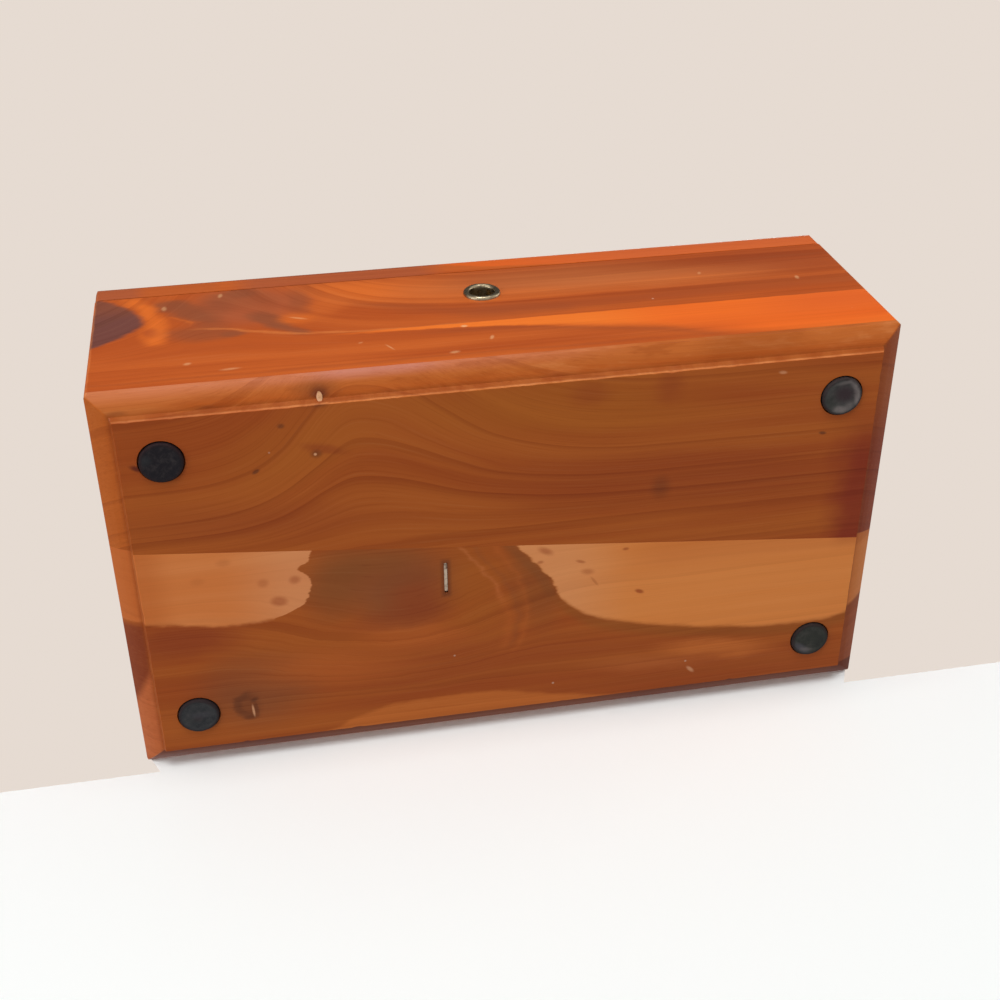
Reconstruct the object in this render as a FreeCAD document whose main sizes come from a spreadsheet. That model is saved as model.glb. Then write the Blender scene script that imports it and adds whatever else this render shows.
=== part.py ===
import FreeCAD, Part
import math
import os
import re
import Sketcher

# A small red cedar chest that stands on four rubber feet, with a hinged lid and a lock in the front wall.
# Frame: X along the length, Y from the front (negative) to the rear, Z up from the surface it stands on.
# The origin is midway between the ends, midway from front to rear, and level with the bottoms of the feet.

doc = FreeCAD.newDocument("CedarChest")

# Driving dimensions, in millimetres, each with what it measures.
SIZES = [
    ("chest_length", 232, "outside length of the walls and the lid"),
    ("chest_depth", 128, "outside depth, front to rear"),
    ("wall_height", 61, "walls, from the top of the base to the joint with the lid"),
    ("wall_thick", 11, "thickness of the wall boards"),
    ("corner_ease", 1.0, "radius sanded on the upright corners of the walls"),
    ("base_thick", 7, "thickness of the base boards"),
    ("base_land", 2.0, "square edge left on the base above its bevel"),
    ("bevel_inset", 5.8, "how far the bevel runs in under the chest"),
    ("bevel_radius", 16, "radius of the slightly rounded bevel"),
    ("arris_height", 2.2, "height of the small step at the foot of the bevel"),
    ("arris_inset", 0.8, "how far that step leans in"),
    ("seam_ahead", 16.2, "base seam at the left end, ahead of the middle"),
    ("seam_behind", 7.3, "base seam at the right end, behind the middle"),
    ("foot_radius", 6.35, "rubber foot"),
    ("foot_thick", 3.2, "rubber foot"),
    ("foot_proud", 1.0, "how far a foot stands below the base"),
    ("foot_ease", 0.4, "rounded rim of a foot"),
    ("foot_fit", 0.15, "clearance round a foot in its recess"),
    ("foot_from_end", 18.0, "centre of a foot from the end of the chest"),
    ("foot_from_side", 19.5, "centre of a foot from the front or rear"),
    ("lid_thick", 14.6, "thickness of the lid boards"),
    ("lid_round", 9.0, "rounded top edge of the lid"),
    ("lid_corner", 1.6, "radius of the lid's upright corners"),
    ("lid_gap", 0.4, "gap between the closed lid and the walls"),
    ("lid_seam_behind", 6.0, "seam of the two lid boards, behind the middle"),
    ("staple_length", 10.9, "crown of the staple, along the depth"),
    ("staple_width", 1.1, "width of the staple wire"),
    ("staple_wire", 0.6, "thickness of the staple wire"),
    ("staple_leg", 4.4, "legs of the staple in the wood"),
    ("staple_sunk", 0.3, "how deep the crown lies below the wood"),
    ("staple_left", 20.8, "staple, left of the middle"),
    ("staple_behind", 4.5, "middle of the staple, behind the middle of the chest"),
    ("brad_left", 53.8, "brad, left of the middle"),
    ("brad_from_front", 5.1, "brad, behind the front"),
    ("brad_radius", 0.6, "shank of the brad"),
    ("brad_head", 1.0, "radius of its head"),
    ("brad_head_thick", 0.6, "thickness of its head"),
    ("brad_length", 16, "length of the brad"),
    ("brad_height", 3.4, "underside of its head above the bottoms of the feet"),
    ("key_drop", 17.5, "keyhole centre below the top of the wall"),
    ("eyelet_bore", 3.9, "radius of the keyhole through the eyelet"),
    ("eyelet_wall", 0.55, "thickness of the eyelet's barrel"),
    ("eyelet_rim", 5.68, "outer radius of the rolled rim"),
    ("eyelet_rise", 1.1, "how far the rolled rim stands out"),
    ("eyelet_lap", 0.5, "how far the roll reaches inside the wood's face"),
    ("sheet", 1.0, "thickness of the lock's plates"),
    ("plate_edge", 1.1, "back plate, past the heads of the lock screws"),
    ("plate_lap", 2.5, "back plate, below the mortise"),
    ("works_room", 1.5, "mortise, past the left end of the bolt"),
    ("works_below", 7.0, "mortise, below the key pin"),
    ("cover_thick", 0.8, "plate over the works, next to the front cheek"),
    ("cover_margin", 0.5, "clearance round that plate"),
    ("key_slot", 1.8, "slot below the keyhole in the cover, for the key's bit"),
    ("key_slot_reach", 6.5, "how far that slot reaches below the key pin"),
    ("key_hole", 2.6, "round part of the keyhole in the cover"),
    ("key_pin_radius", 1.1, "pin that the key's barrel turns on"),
    ("key_pin_short", 0.5, "how far the pin ends behind the cheek"),
    ("bolt_thick", 2.0, "lock bolt"),
    ("bolt_stand", 1.5, "lock bolt, from the back plate"),
    ("bolt_room", 1.7, "clearance between the bolt and the cover plate"),
    ("bolt_left", 13.0, "left end of the bolt, drawn back, left of the key pin"),
    ("bolt_right", 9.3, "right end of the bolt, drawn back, right of the key pin"),
    ("bolt_height", 4.5, "height of the bolt's bar"),
    ("bolt_above_key", 3.5, "bottom of the bolt's bar above the key pin"),
    ("bolt_travel", 3.0, "how far the bolt slides"),
    ("finger_width", 1.6, "stem of a finger"),
    ("barb_length", 2.4, "hook of a finger or of a striker"),
    ("barb_height", 1.7, "hook of a finger or of a striker"),
    ("notch_width", 4.4, "notch in the bolt for the key's bit"),
    ("notch_depth", 2.0, "notch in the bolt for the key's bit"),
    ("hook_first", 4.5, "middle of the left striker hook, left of the key pin"),
    ("hook_pitch", 12.0, "from one striker hook to the next"),
    ("hook_clear", 1.0, "bottom of the hooks above the bolt's bar"),
    ("hook_thick", 1.6, "striker hooks, front to rear"),
    ("hook_side", 0.8, "clearance beside a hook in its slot"),
    ("hook_swing", 1.0, "clearance before and behind a hook in its slot"),
    ("guide_left", 7.5, "left guide post, left of the key pin"),
    ("guide_right", 6.5, "right guide post, right of the key pin"),
    ("guide_radius", 1.0, "guide post where the bolt slides on it"),
    ("guide_shoulder", 1.8, "shoulder that keeps the bolt off the plate"),
    ("slide_gap", 0.3, "running clearance of the bolt"),
    ("spring_post_left", 11.4, "spring post, left of the key pin"),
    ("spring_post_below", 1.7, "spring post, below the key pin"),
    ("spring_eye", 1.7, "outer radius of the spring's eye"),
    ("spring_leaf", 0.4, "thickness of the leaf spring"),
    ("spring_reach", 6.2, "how far the leaf reaches from its post"),
    ("spring_tip", 1.4, "flat tip of the leaf, under the bolt"),
    ("screw_radius", 0.9, "shank of the small screws"),
    ("screw_head", 1.7, "radius of a countersunk head"),
    ("head_height", 0.8, "height of a countersunk head"),
    ("screw_length", 6.0, "small screws, overall"),
    ("screw_slot", 0.4, "width of a screw's slot"),
    ("screw_slot_deep", 0.35, "depth of a screw's slot"),
    ("screw_land", 1.0, "wood between the mortise and a lock screw's head"),
    ("striker_edge", 1.3, "striker plate, past the heads of its screws"),
    ("striker_deep", 7.6, "striker plate, front to rear"),
    ("striker_thick", 1.0, "striker plate"),
    ("striker_screw_out", 15.0, "striker screws, from the middle"),
    ("hinge_from_end", 46, "middle of a hinge from the end of the chest"),
    ("hinge_length", 25.4, "leaves of a hinge"),
    ("hinge_inset", 2.6, "hinge pin ahead of the rear face"),
    ("leaf_land", 1.2, "wood left between a leaf and the inside of the wall"),
    ("leaf_thick", 0.8, "leaf of a hinge"),
    ("barrel_radius", 1.6, "knuckles of a hinge"),
    ("hinge_pin", 0.7, "radius of the hinge pin"),
    ("pin_gap", 0.05, "running clearance round the hinge pin"),
    ("knuckle_gap", 0.15, "gap between neighbouring knuckles"),
    ("barrel_gap", 0.3, "clearance of a knuckle in the wood and beside a leaf"),
    ("hinge_screw_from_end", 4.5, "hinge screws, from the end of the leaf"),
    ("hinge_screw_in", 4.4, "hinge screws, ahead of the pin"),
    ("overrun", 5, "how far a cutting shape runs past what it cuts"),
]

# Shares and angles, which stay the same when the chest is made larger or smaller.
SHARES = [
    ("knuckle_share", 0.2, "one knuckle as a share of the hinge's length"),
    ("open_angle", 102, "angle between the two bevelled faces behind the hinge"),
]


def fill_sheet():
    """Write the driving dimensions into a sheet, one aliased cell each, with their meaning beside them."""
    book = doc.addObject("Spreadsheet::Sheet", "Sizes")
    for row, (alias, value, meaning) in enumerate(SIZES + SHARES, start=1):
        book.set(f"A{row}", str(value))
        book.setAlias(f"A{row}", alias)
        book.set(f"B{row}", meaning)
    doc.recompute()
    return book


sheet = fill_sheet()
WORDS = re.compile(r"\b(" + "|".join(alias for alias, _, _ in SIZES + SHARES) + r")\b")


def linked(text):
    """An expression in plain size names, as one that reads the sheet."""
    return WORDS.sub(r"Sizes.\1", text)


def value_of(text):
    """What such an expression comes to now."""
    return float(sheet.evalExpression(linked(text)))


# Levels, faces and spans that several pieces share, as expressions.
HALF_LENGTH = "(chest_length / 2)"
HALF_DEPTH = "(chest_depth / 2)"
UNDERSIDE = "foot_proud"
WALL_BOTTOM = "(foot_proud + base_thick)"
WALL_TOP = "(foot_proud + base_thick + wall_height)"
LID_BOTTOM = f"({WALL_TOP} + lid_gap)"
INNER_FRONT = "(wall_thick - chest_depth / 2)"
PLATE_FACE = f"({INNER_FRONT} - sheet)"
BOLT_FACE = f"({PLATE_FACE} - bolt_stand)"
CHEEK_BACK = f"({BOLT_FACE} - bolt_thick - bolt_room - cover_thick)"
CHEEK = f"({HALF_DEPTH} + {CHEEK_BACK})"
HOOK_MIDDLE = f"({BOLT_FACE} - bolt_thick / 2)"
HOOK_FACE = f"({HOOK_MIDDLE} + hook_thick / 2)"
KEY_LEVEL = f"({WALL_TOP} - key_drop)"
SPRING_LEVEL = f"({KEY_LEVEL} - spring_post_below)"
BAR_BOTTOM = f"({KEY_LEVEL} + bolt_above_key)"
BAR_MIDDLE = f"({BAR_BOTTOM} + bolt_height / 2)"
BAR_TOP = f"({BAR_BOTTOM} + bolt_height)"
HOOK_BOTTOM = f"({BAR_TOP} + hook_clear)"
FINGER_TOP = f"({HOOK_BOTTOM} + 2 * barb_height + slide_gap)"
WORKS_HALF = "(bolt_left + works_room)"
WORKS_BOTTOM = f"({KEY_LEVEL} - works_below)"
WORKS_HEIGHT = "(key_drop + works_below)"
PLATE_BOTTOM = f"({WORKS_BOTTOM} - plate_lap)"
PLATE_HEIGHT = f"({WORKS_HEIGHT} + plate_lap)"
LOCK_SCREW_OUT = f"({WORKS_HALF} + screw_land + screw_head)"
LOCK_SCREW_LEVEL = f"({WALL_TOP} - {PLATE_HEIGHT} / 2)"
PLATE_HALF = f"({LOCK_SCREW_OUT} + screw_head + plate_edge)"
STRIKER_HALF = "(striker_screw_out + screw_head + striker_edge)"
HINGE_LINE = "(chest_depth / 2 - hinge_inset)"
HINGE_LEVEL = f"({WALL_TOP} + lid_gap / 2)"
HINGE_OUT = f"({HALF_LENGTH} - hinge_from_end)"
LEAF_WIDTH = "(wall_thick - hinge_inset - leaf_land)"

# The signs of the two ends, and the middles of the two striker hooks.
SIDES = (("left", "-"), ("right", ""))
HOOKS = ("(-hook_first)", "(hook_pitch - hook_first)")

X_AXIS = FreeCAD.Vector(1, 0, 0)
Y_AXIS = FreeCAD.Vector(0, 1, 0)
Z_AXIS = FreeCAD.Vector(0, 0, 1)
UPRIGHT = FreeCAD.Rotation()
ALONG_X = FreeCAD.Rotation(Y_AXIS, 90)
TO_FRONT = FreeCAD.Rotation(X_AXIS, 90)
DOWNWARD = FreeCAD.Rotation(X_AXIS, 180)

HOLLOW = "hollow"
subparts = []


def subpart(thing, label):
    """Give a finished sub-part the name of its file."""
    thing.Label = label
    subparts.append(thing)
    return thing


def bind(thing, **expressions):
    """Tie properties of an object to the sheet."""
    for name, text in expressions.items():
        thing.setExpression(name, linked(text))
    return thing


def place(thing, corner, turn=UPRIGHT):
    """Put an object's own origin at a point given as three expressions."""
    thing.Placement = FreeCAD.Placement(FreeCAD.Vector(), turn)
    for axis, text in zip("xyz", corner):
        thing.setExpression(f"Placement.Base.{axis}", linked(text))
    return thing


def box(name, low, size):
    block = doc.addObject("Part::Box", name)
    bind(block, Length=size[0], Width=size[1], Height=size[2])
    return place(block, low)


def rod(name, radius, length, start, turn=UPRIGHT):
    cylinder = doc.addObject("Part::Cylinder", name)
    bind(cylinder, Radius=radius, Height=length)
    return place(cylinder, start, turn)


def cone(name, first, last, length, start, turn=UPRIGHT):
    taper = doc.addObject("Part::Cone", name)
    bind(taper, Radius1=first, Radius2=last, Height=length)
    return place(taper, start, turn)


def joined(name, pieces):
    whole = doc.addObject("Part::MultiFuse", name)
    whole.Shapes = pieces
    return whole


def cut(name, base, tools):
    """The base with every tool taken out of it."""
    less = doc.addObject("Part::Cut", name)
    less.Base = base
    less.Tool = tools[0] if len(tools) == 1 else joined(name + "_tools", tools)
    return less


def common(name, base, tool):
    """What two shapes share."""
    shared = doc.addObject("Part::Common", name)
    shared.Base = base
    shared.Tool = tool
    return shared


def group(name, pieces):
    """Separate solids that share one name."""
    lot = doc.addObject("Part::Compound", name)
    lot.Links = pieces
    return lot


def outline(body, name, plane, corners, offset="0"):
    """A closed outline on one of a body's own origin planes, run anticlockwise.

    A corner is (across, up), or (across, up, radius) where the side that arrives at it is an arc that
    swells outwards, or (across, up, radius, HOLLOW) where that arc is hollow. Every corner is held by its
    two distances from the body's origin, and every arc by its radius.
    """
    sketch = body.newObject("Sketcher::SketchObject", name)
    planes = {feature.Role: feature for feature in body.Origin.OriginFeatures}
    sketch.AttachmentSupport = [(planes[plane], "")]
    sketch.MapMode = "FlatFace"
    sketch.setExpression("AttachmentOffset.Base.z", linked(offset))
    points = [FreeCAD.Vector(value_of(corner[0]), value_of(corner[1]), 0) for corner in corners]
    count = len(corners)
    for side in range(count):
        start, end = points[side], points[(side + 1) % count]
        arriving = corners[(side + 1) % count]
        if len(arriving) > 2:
            way = -1 if HOLLOW in arriving else 1
            sketch.addGeometry(arc_between(start, end, value_of(arriving[2]), way), False)
        else:
            sketch.addGeometry(Part.LineSegment(start, end), False)
    ends = [side_ends(sketch.Geometry[side], points[side]) for side in range(count)]
    for side in range(count):
        after = (side + 1) % count
        sketch.addConstraint(Sketcher.Constraint("Coincident", side, ends[side][1], after, ends[after][0]))
    for side, corner in enumerate(corners):
        for way, text, now in zip(("DistanceX", "DistanceY"), corner, points[side]):
            held = Sketcher.Constraint(way, -1, 1, side, ends[side][0], now)
            index = sketch.addConstraint(held)
            if text != "0":
                sketch.setExpression(f"Constraints[{index}]", linked(text))
        arriving = corners[(side + 1) % count]
        if len(arriving) > 2:
            index = sketch.addConstraint(Sketcher.Constraint("Radius", side, value_of(arriving[2])))
            sketch.setExpression(f"Constraints[{index}]", linked(arriving[2]))
    return sketch


def arc_between(start, end, radius, way):
    """The arc from start to end, swelling to the right of the way there, or to the left where way is -1."""
    chord = end - start
    outward = FreeCAD.Vector(chord.y, -chord.x, 0).normalize() * way
    centre = (start + end) / 2 - outward * math.sqrt(max(radius ** 2 - chord.Length ** 2 / 4, 0))
    first, last = (start, end) if way > 0 else (end, start)
    angles = [math.atan2(point.y - centre.y, point.x - centre.x) for point in (first, last)]
    if angles[1] < angles[0]:
        angles[1] += 2 * math.pi
    return Part.ArcOfCircle(Part.Circle(centre, FreeCAD.Vector(0, 0, 1), radius), angles[0], angles[1])


def side_ends(side, start):
    """Which of a side's own ends is its start here, and which its end: a hollow arc runs the other way."""
    first = side.StartPoint.distanceToPoint(start) <= side.EndPoint.distanceToPoint(start)
    return (1, 2) if first else (2, 1)


def mirrored(corners):
    """The same outline on the other side of the body's upright axis, again anticlockwise."""
    flipped = []
    for index in reversed(range(len(corners))):
        across, up = corners[index][:2]
        arc = corners[(index + 1) % len(corners)][2:]
        flipped.append((f"-({across})", up) + tuple(arc))
    return flipped


def padded(body, name, sketch, length, middle=False):
    pad = body.newObject("PartDesign::Pad", name)
    pad.Profile = sketch
    bind(pad, Length=length)
    if middle:
        pad.SideType = "Symmetric"
    return pad


def pocketed(body, name, sketch, length):
    """Cut an outline right through, to both sides of its plane."""
    pocket = body.newObject("PartDesign::Pocket", name)
    pocket.Profile = sketch
    bind(pocket, Length=length)
    pocket.SideType = "Symmetric"
    return pocket


def turned(body, name, sketch):
    """Turn an outline on the XZ plane about the body's own upright axis."""
    revolution = body.newObject("PartDesign::Revolution", name)
    revolution.Profile = sketch
    axes = {feature.Role: feature for feature in body.Origin.OriginFeatures}
    revolution.ReferenceAxis = (axes["Z_Axis"], [""])
    revolution.Angle = 360
    return revolution


def profiled_board(label, section, waste, level):
    """A board with one section along the chest, its two ends cut to the profile that the waste leaves."""
    body = doc.addObject("PartDesign::Body", label + "_body")
    sketch = outline(body, label + "_section", "YZ_Plane", section)
    padded(body, label + "_board", sketch, "chest_length", True)
    for end, corners in (("right", waste), ("left", mirrored(waste))):
        sketch = outline(body, f"{label}_{end}_waste", "XZ_Plane", corners)
        pocketed(body, f"{label}_{end}_edge", sketch, "chest_depth + 2 * overrun")
    return place(body, ("0", "0", level))


def corner_block(name, radius, height, level):
    """A block as long and deep as the chest, its upright corners rounded, that the boards are kept within."""
    body = doc.addObject("PartDesign::Body", name)
    plan = [
        (f"-{HALF_LENGTH}", f"-{HALF_DEPTH}"),
        (HALF_LENGTH, f"-{HALF_DEPTH}"),
        (HALF_LENGTH, HALF_DEPTH),
        (f"-{HALF_LENGTH}", HALF_DEPTH),
    ]
    pad = padded(body, name + "_pad", outline(body, name + "_plan", "XY_Plane", plan), height)
    doc.recompute()
    upright = [
        f"Edge{number}"
        for number, edge in enumerate(pad.Shape.Edges, start=1)
        if edge.BoundBox.ZLength > edge.BoundBox.XLength + edge.BoundBox.YLength
    ]
    rounds = body.newObject("PartDesign::Fillet", name + "_rounds")
    rounds.Base = (pad, upright)
    bind(rounds, Radius=radius)
    return place(body, ("0", "0", level))


def hinge_wedge(name, upper):
    """A long block with one face on the bevel that runs back from the hinge line, below or above it."""
    turn = "open_angle / 2 - 90" if upper else "-open_angle / 2"
    reach = "(4 * hinge_inset + overrun)"
    size = ("chest_length + 2 * overrun", reach, reach)
    block = box(name, (f"-{HALF_LENGTH} - overrun", HINGE_LINE, HINGE_LEVEL), size)
    block.Placement.Rotation = FreeCAD.Rotation(X_AXIS, value_of(turn))
    block.setExpression("Placement.Rotation.Angle", linked(turn))
    return block


def wall_board(name, long_half, far_half, turn):
    """A wall board with mitred ends and half of each eased corner, drawn as a front wall and then turned."""
    eased = "corner_ease * (1 - sqrt(2) / 2)"
    plan = [
        (f"-{long_half} + corner_ease", f"-{far_half}", "corner_ease"),
        (f"{long_half} - corner_ease", f"-{far_half}"),
        (f"{long_half} - {eased}", f"-{far_half} + {eased}", "corner_ease"),
        (f"{long_half} - wall_thick", f"-{far_half} + wall_thick"),
        (f"-{long_half} + wall_thick", f"-{far_half} + wall_thick"),
        (f"-{long_half} + {eased}", f"-{far_half} + {eased}"),
    ]
    body = doc.addObject("PartDesign::Body", name)
    padded(body, name + "_raised", outline(body, name + "_plan", "XY_Plane", plan), "wall_height")
    return place(body, ("0", "0", WALL_BOTTOM), FreeCAD.Rotation(Z_AXIS, turn))


# The four walls, each with its own cuts.

def front_wall():
    board = wall_board("front_board", HALF_LENGTH, HALF_DEPTH, 0)
    rebate = box(
        "plate_rebate",
        (f"-{PLATE_HALF}", PLATE_FACE, PLATE_BOTTOM),
        (f"2 * {PLATE_HALF}", "sheet + overrun", f"{PLATE_HEIGHT} + overrun"),
    )
    works = box(
        "works_mortise",
        (f"-{WORKS_HALF}", CHEEK_BACK, WORKS_BOTTOM),
        (f"2 * {WORKS_HALF}", f"wall_thick - {CHEEK}", f"{WORKS_HEIGHT} + overrun"),
    )
    centre = ("0", CHEEK_BACK, KEY_LEVEL)
    keyhole = rod("keyhole", "eyelet_bore + eyelet_wall", f"{CHEEK} + overrun", centre, TO_FRONT)
    tools = [rebate, works, keyhole, brad_shape("brad_hole", True)]
    tools += [screw_shape(f"lock_pilot_{side}", lock_screw_at(sign), TO_FRONT) for side, sign in SIDES]
    return subpart(cut("front_wall_cut", board, tools), "front_wall")


def rear_wall():
    board = wall_board("rear_board", HALF_LENGTH, HALF_DEPTH, 180)
    tools = [hinge_wedge("rear_bevel", False)]
    for side, sign in SIDES:
        tools += hinge_room(f"{side}_wall", sign, f"{WALL_TOP} - leaf_thick")
        tools += hinge_screws(f"{side}_wall_pilot", sign, False)
    return subpart(cut("rear_wall_cut", board, tools), "rear_wall")


def end_walls():
    for side, turn in (("left", -90), ("right", 90)):
        board = wall_board(f"{side}_board", HALF_DEPTH, HALF_LENGTH, turn)
        subpart(cut(f"{side}_end_cut", board, [hinge_wedge(f"{side}_bevel", False)]), f"{side}_end")


# The base: two boards with a skewed seam, one bevelled edge all round.

def base_board(label, front, corners):
    """One base board: the bevelled edge on three sides, and the skewed seam on the fourth."""
    foot_inset = "(bevel_inset + arris_inset)"
    land_level = "(base_thick - base_land)"
    past = f"({HALF_DEPTH} / 2)"
    section = [
        (past, "0"),
        (past, "base_thick"),
        (f"-{HALF_DEPTH}", "base_thick"),
        (f"-{HALF_DEPTH}", land_level),
        (f"-{HALF_DEPTH} + bevel_inset", "arris_height", "bevel_radius"),
        (f"-{HALF_DEPTH} + {foot_inset}", "0"),
    ]
    waste = [
        (HALF_LENGTH, land_level),
        (f"{HALF_LENGTH} - bevel_inset", "arris_height", "bevel_radius", HOLLOW),
        (f"{HALF_LENGTH} - {foot_inset}", "0"),
        (f"{HALF_LENGTH} - {foot_inset}", "-overrun"),
        (f"{HALF_LENGTH} + overrun", "-overrun"),
        (f"{HALF_LENGTH} + overrun", land_level),
    ]
    body = profiled_board(label, section if front else mirrored(section), waste, UNDERSIDE)
    left = f"(-{HALF_LENGTH} - overrun)"
    right = f"({HALF_LENGTH} + overrun)"
    seam = [(left, seam_at(left)), (right, seam_at(right))]
    if front:
        beyond = seam + [(right, HALF_DEPTH), (left, HALF_DEPTH)]
    else:
        beyond = [(left, f"-{HALF_DEPTH}"), (right, f"-{HALF_DEPTH}")] + seam[::-1]
    sketch = outline(body, label + "_beyond", "XY_Plane", beyond)
    pocketed(body, label + "_seam", sketch, "2 * base_thick + overrun")
    side = "-" if front else ""
    tools = [foot_recess(f"{label}_{end}_recess", sign, side) for end, sign in SIDES]
    tools += [brad_shape(label + "_brad_hole", True)] if front else staple_pieces("staple_slot", True)
    return subpart(cut(label + "_cut", common(label + "_rounded", body, corners), tools), label)


def seam_at(along):
    """Where the seam lies in depth, at a place along the chest."""
    return f"((seam_behind - seam_ahead) / 2 + (seam_behind + seam_ahead) * {along} / chest_length)"


def foot_centre(end, side, level):
    """A point on a foot's axis, on the end and the side that the two signs give."""
    return (f"{end}({HALF_LENGTH} - foot_from_end)", f"{side}({HALF_DEPTH} - foot_from_side)", level)


def foot_recess(name, end, side):
    """The drilled recess that a foot sits in, down from the foot's top face."""
    top = foot_centre(end, side, "foot_thick")
    return rod(name, "foot_radius + foot_fit", "foot_thick + overrun", top, DOWNWARD)


def feet():
    """Four rubber discs, their lower rims rounded."""
    for row, side in (("front", "-"), ("rear", "")):
        for end, sign in SIDES:
            label = f"foot_{row}_{end}"
            body = doc.addObject("PartDesign::Body", label + "_body")
            section = [
                ("0", "0"),
                ("foot_radius - foot_ease", "0"),
                ("foot_radius", "foot_ease", "foot_ease"),
                ("foot_radius", "foot_thick"),
                ("0", "foot_thick"),
            ]
            turned(body, label + "_disc", outline(body, label + "_section", "XZ_Plane", section))
            place(body, foot_centre(sign, side, "0"))
            subpart(body, label)


def staple_pieces(name, roomy):
    """The staple's crown and its two legs. A roomy one also opens the wood below the crown."""
    legs_from = f"({UNDERSIDE} + staple_sunk)"
    near = "(staple_behind - staple_length / 2)"
    across = "(-staple_left - staple_width / 2)"
    low = f"{UNDERSIDE} - overrun" if roomy else legs_from
    tall = "staple_sunk + staple_wire + overrun" if roomy else "staple_wire"
    crown = box(name + "_crown", (across, near, low), ("staple_width", "staple_length", tall))
    leg = ("staple_width", "staple_wire", "staple_wire + staple_leg")
    legs = [
        box(f"{name}_leg_{end}", (across, start, legs_from), leg)
        for end, start in (("front", near), ("rear", f"{near} + staple_length - staple_wire"))
    ]
    return [crown] + legs


def brad_shape(name, roomy):
    """A brad driven up through the bevel into the front wall. A roomy one also opens the wood below it."""
    at = ("-brad_left", f"brad_from_front - {HALF_DEPTH}", "brad_height")
    shank = rod(name + "_shank", "brad_radius", "brad_length", at)
    head_long = "brad_head_thick + overrun" if roomy else "brad_head_thick"
    return joined(name, [shank, rod(name + "_head", "brad_head", head_long, at, DOWNWARD)])


# The lid: two boards, the top edge rounded all round, the bottom of the rear edge bevelled to stop the lid.

def lid_board(label, front, corners):
    """One lid board: the rounded top edge on three sides, and the seam on the fourth."""
    seam = "lid_seam_behind" if front else "-lid_seam_behind"
    section = [
        (seam, "0"),
        (seam, "lid_thick"),
        (f"-{HALF_DEPTH} + lid_round", "lid_thick"),
        (f"-{HALF_DEPTH}", "lid_thick - lid_round", "lid_round"),
        (f"-{HALF_DEPTH}", "0"),
    ]
    waste = [
        (HALF_LENGTH, "lid_thick - lid_round", "lid_round", HOLLOW),
        (f"{HALF_LENGTH} + overrun", "lid_thick - lid_round"),
        (f"{HALF_LENGTH} + overrun", "lid_thick + overrun"),
        (f"{HALF_LENGTH} - lid_round", "lid_thick + overrun"),
        (f"{HALF_LENGTH} - lid_round", "lid_thick"),
    ]
    body = profiled_board(label, section if front else mirrored(section), waste, LID_BOTTOM)
    tools = []
    if front:
        tools.append(box(
            "striker_mortise",
            (f"-{STRIKER_HALF}", f"{HOOK_MIDDLE} - striker_deep / 2", f"{LID_BOTTOM} - overrun"),
            (f"2 * {STRIKER_HALF}", "striker_deep", "striker_thick + overrun"),
        ))
        for side, sign in SIDES:
            tools.append(screw_shape(f"striker_pilot_{side}", striker_screw_at(sign), UPRIGHT))
    else:
        tools.append(hinge_wedge("lid_bevel", True))
        for side, sign in SIDES:
            tools += hinge_room(f"{side}_lid", sign, f"{LID_BOTTOM} - overrun")
            tools += hinge_screws(f"{side}_lid_pilot", sign, True)
    return subpart(cut(label + "_cut", common(label + "_rounded", body, corners), tools), label)


# Keyhole eyelet and lock.

def keyhole_eyelet():
    """A barrel through the front cheek with a rolled rim against the wood's face."""
    body = doc.addObject("PartDesign::Body", "eyelet_body")
    roll = "((eyelet_rim - eyelet_bore) / 2)"
    roll_radius = f"(eyelet_rise ^ 2 + {roll} ^ 2) / (2 * eyelet_rise)"
    section = [
        ("eyelet_bore", "0"),
        ("eyelet_bore + eyelet_wall", "0"),
        ("eyelet_bore + eyelet_wall", CHEEK),
        ("eyelet_rim", CHEEK),
        (f"eyelet_bore + {roll}", f"{CHEEK} + eyelet_rise", roll_radius),
        ("eyelet_bore", f"{CHEEK} + eyelet_rise - eyelet_lap", "eyelet_rise"),
    ]
    turned(body, "eyelet_turning", outline(body, "eyelet_section", "XZ_Plane", section))
    return subpart(place(body, ("0", CHEEK_BACK, KEY_LEVEL), TO_FRONT), "keyhole_eyelet")


def lock_screw_at(sign):
    """Seat of a lock screw's head, in the back plate's inner face."""
    return (f"{sign}{LOCK_SCREW_OUT}", INNER_FRONT, LOCK_SCREW_LEVEL)


def striker_screw_at(sign):
    return (f"{sign}striker_screw_out", HOOK_MIDDLE, LID_BOTTOM)


def screw_shape(name, seat, turn):
    """A countersunk screw without its slot, from the face that its head is flush with."""
    head = cone(name + "_head", "screw_head", "screw_radius", "head_height", seat, turn)
    shank = rod(name + "_shank", "screw_radius", "screw_length", seat, turn)
    return joined(name, [head, shank])


def slotted(name, seat, turn, slot_low, slot_size):
    """The same screw with a slot across its head."""
    return cut(name, screw_shape(name + "_blank", seat, turn), [box(name + "_slot", slot_low, slot_size)])


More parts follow.
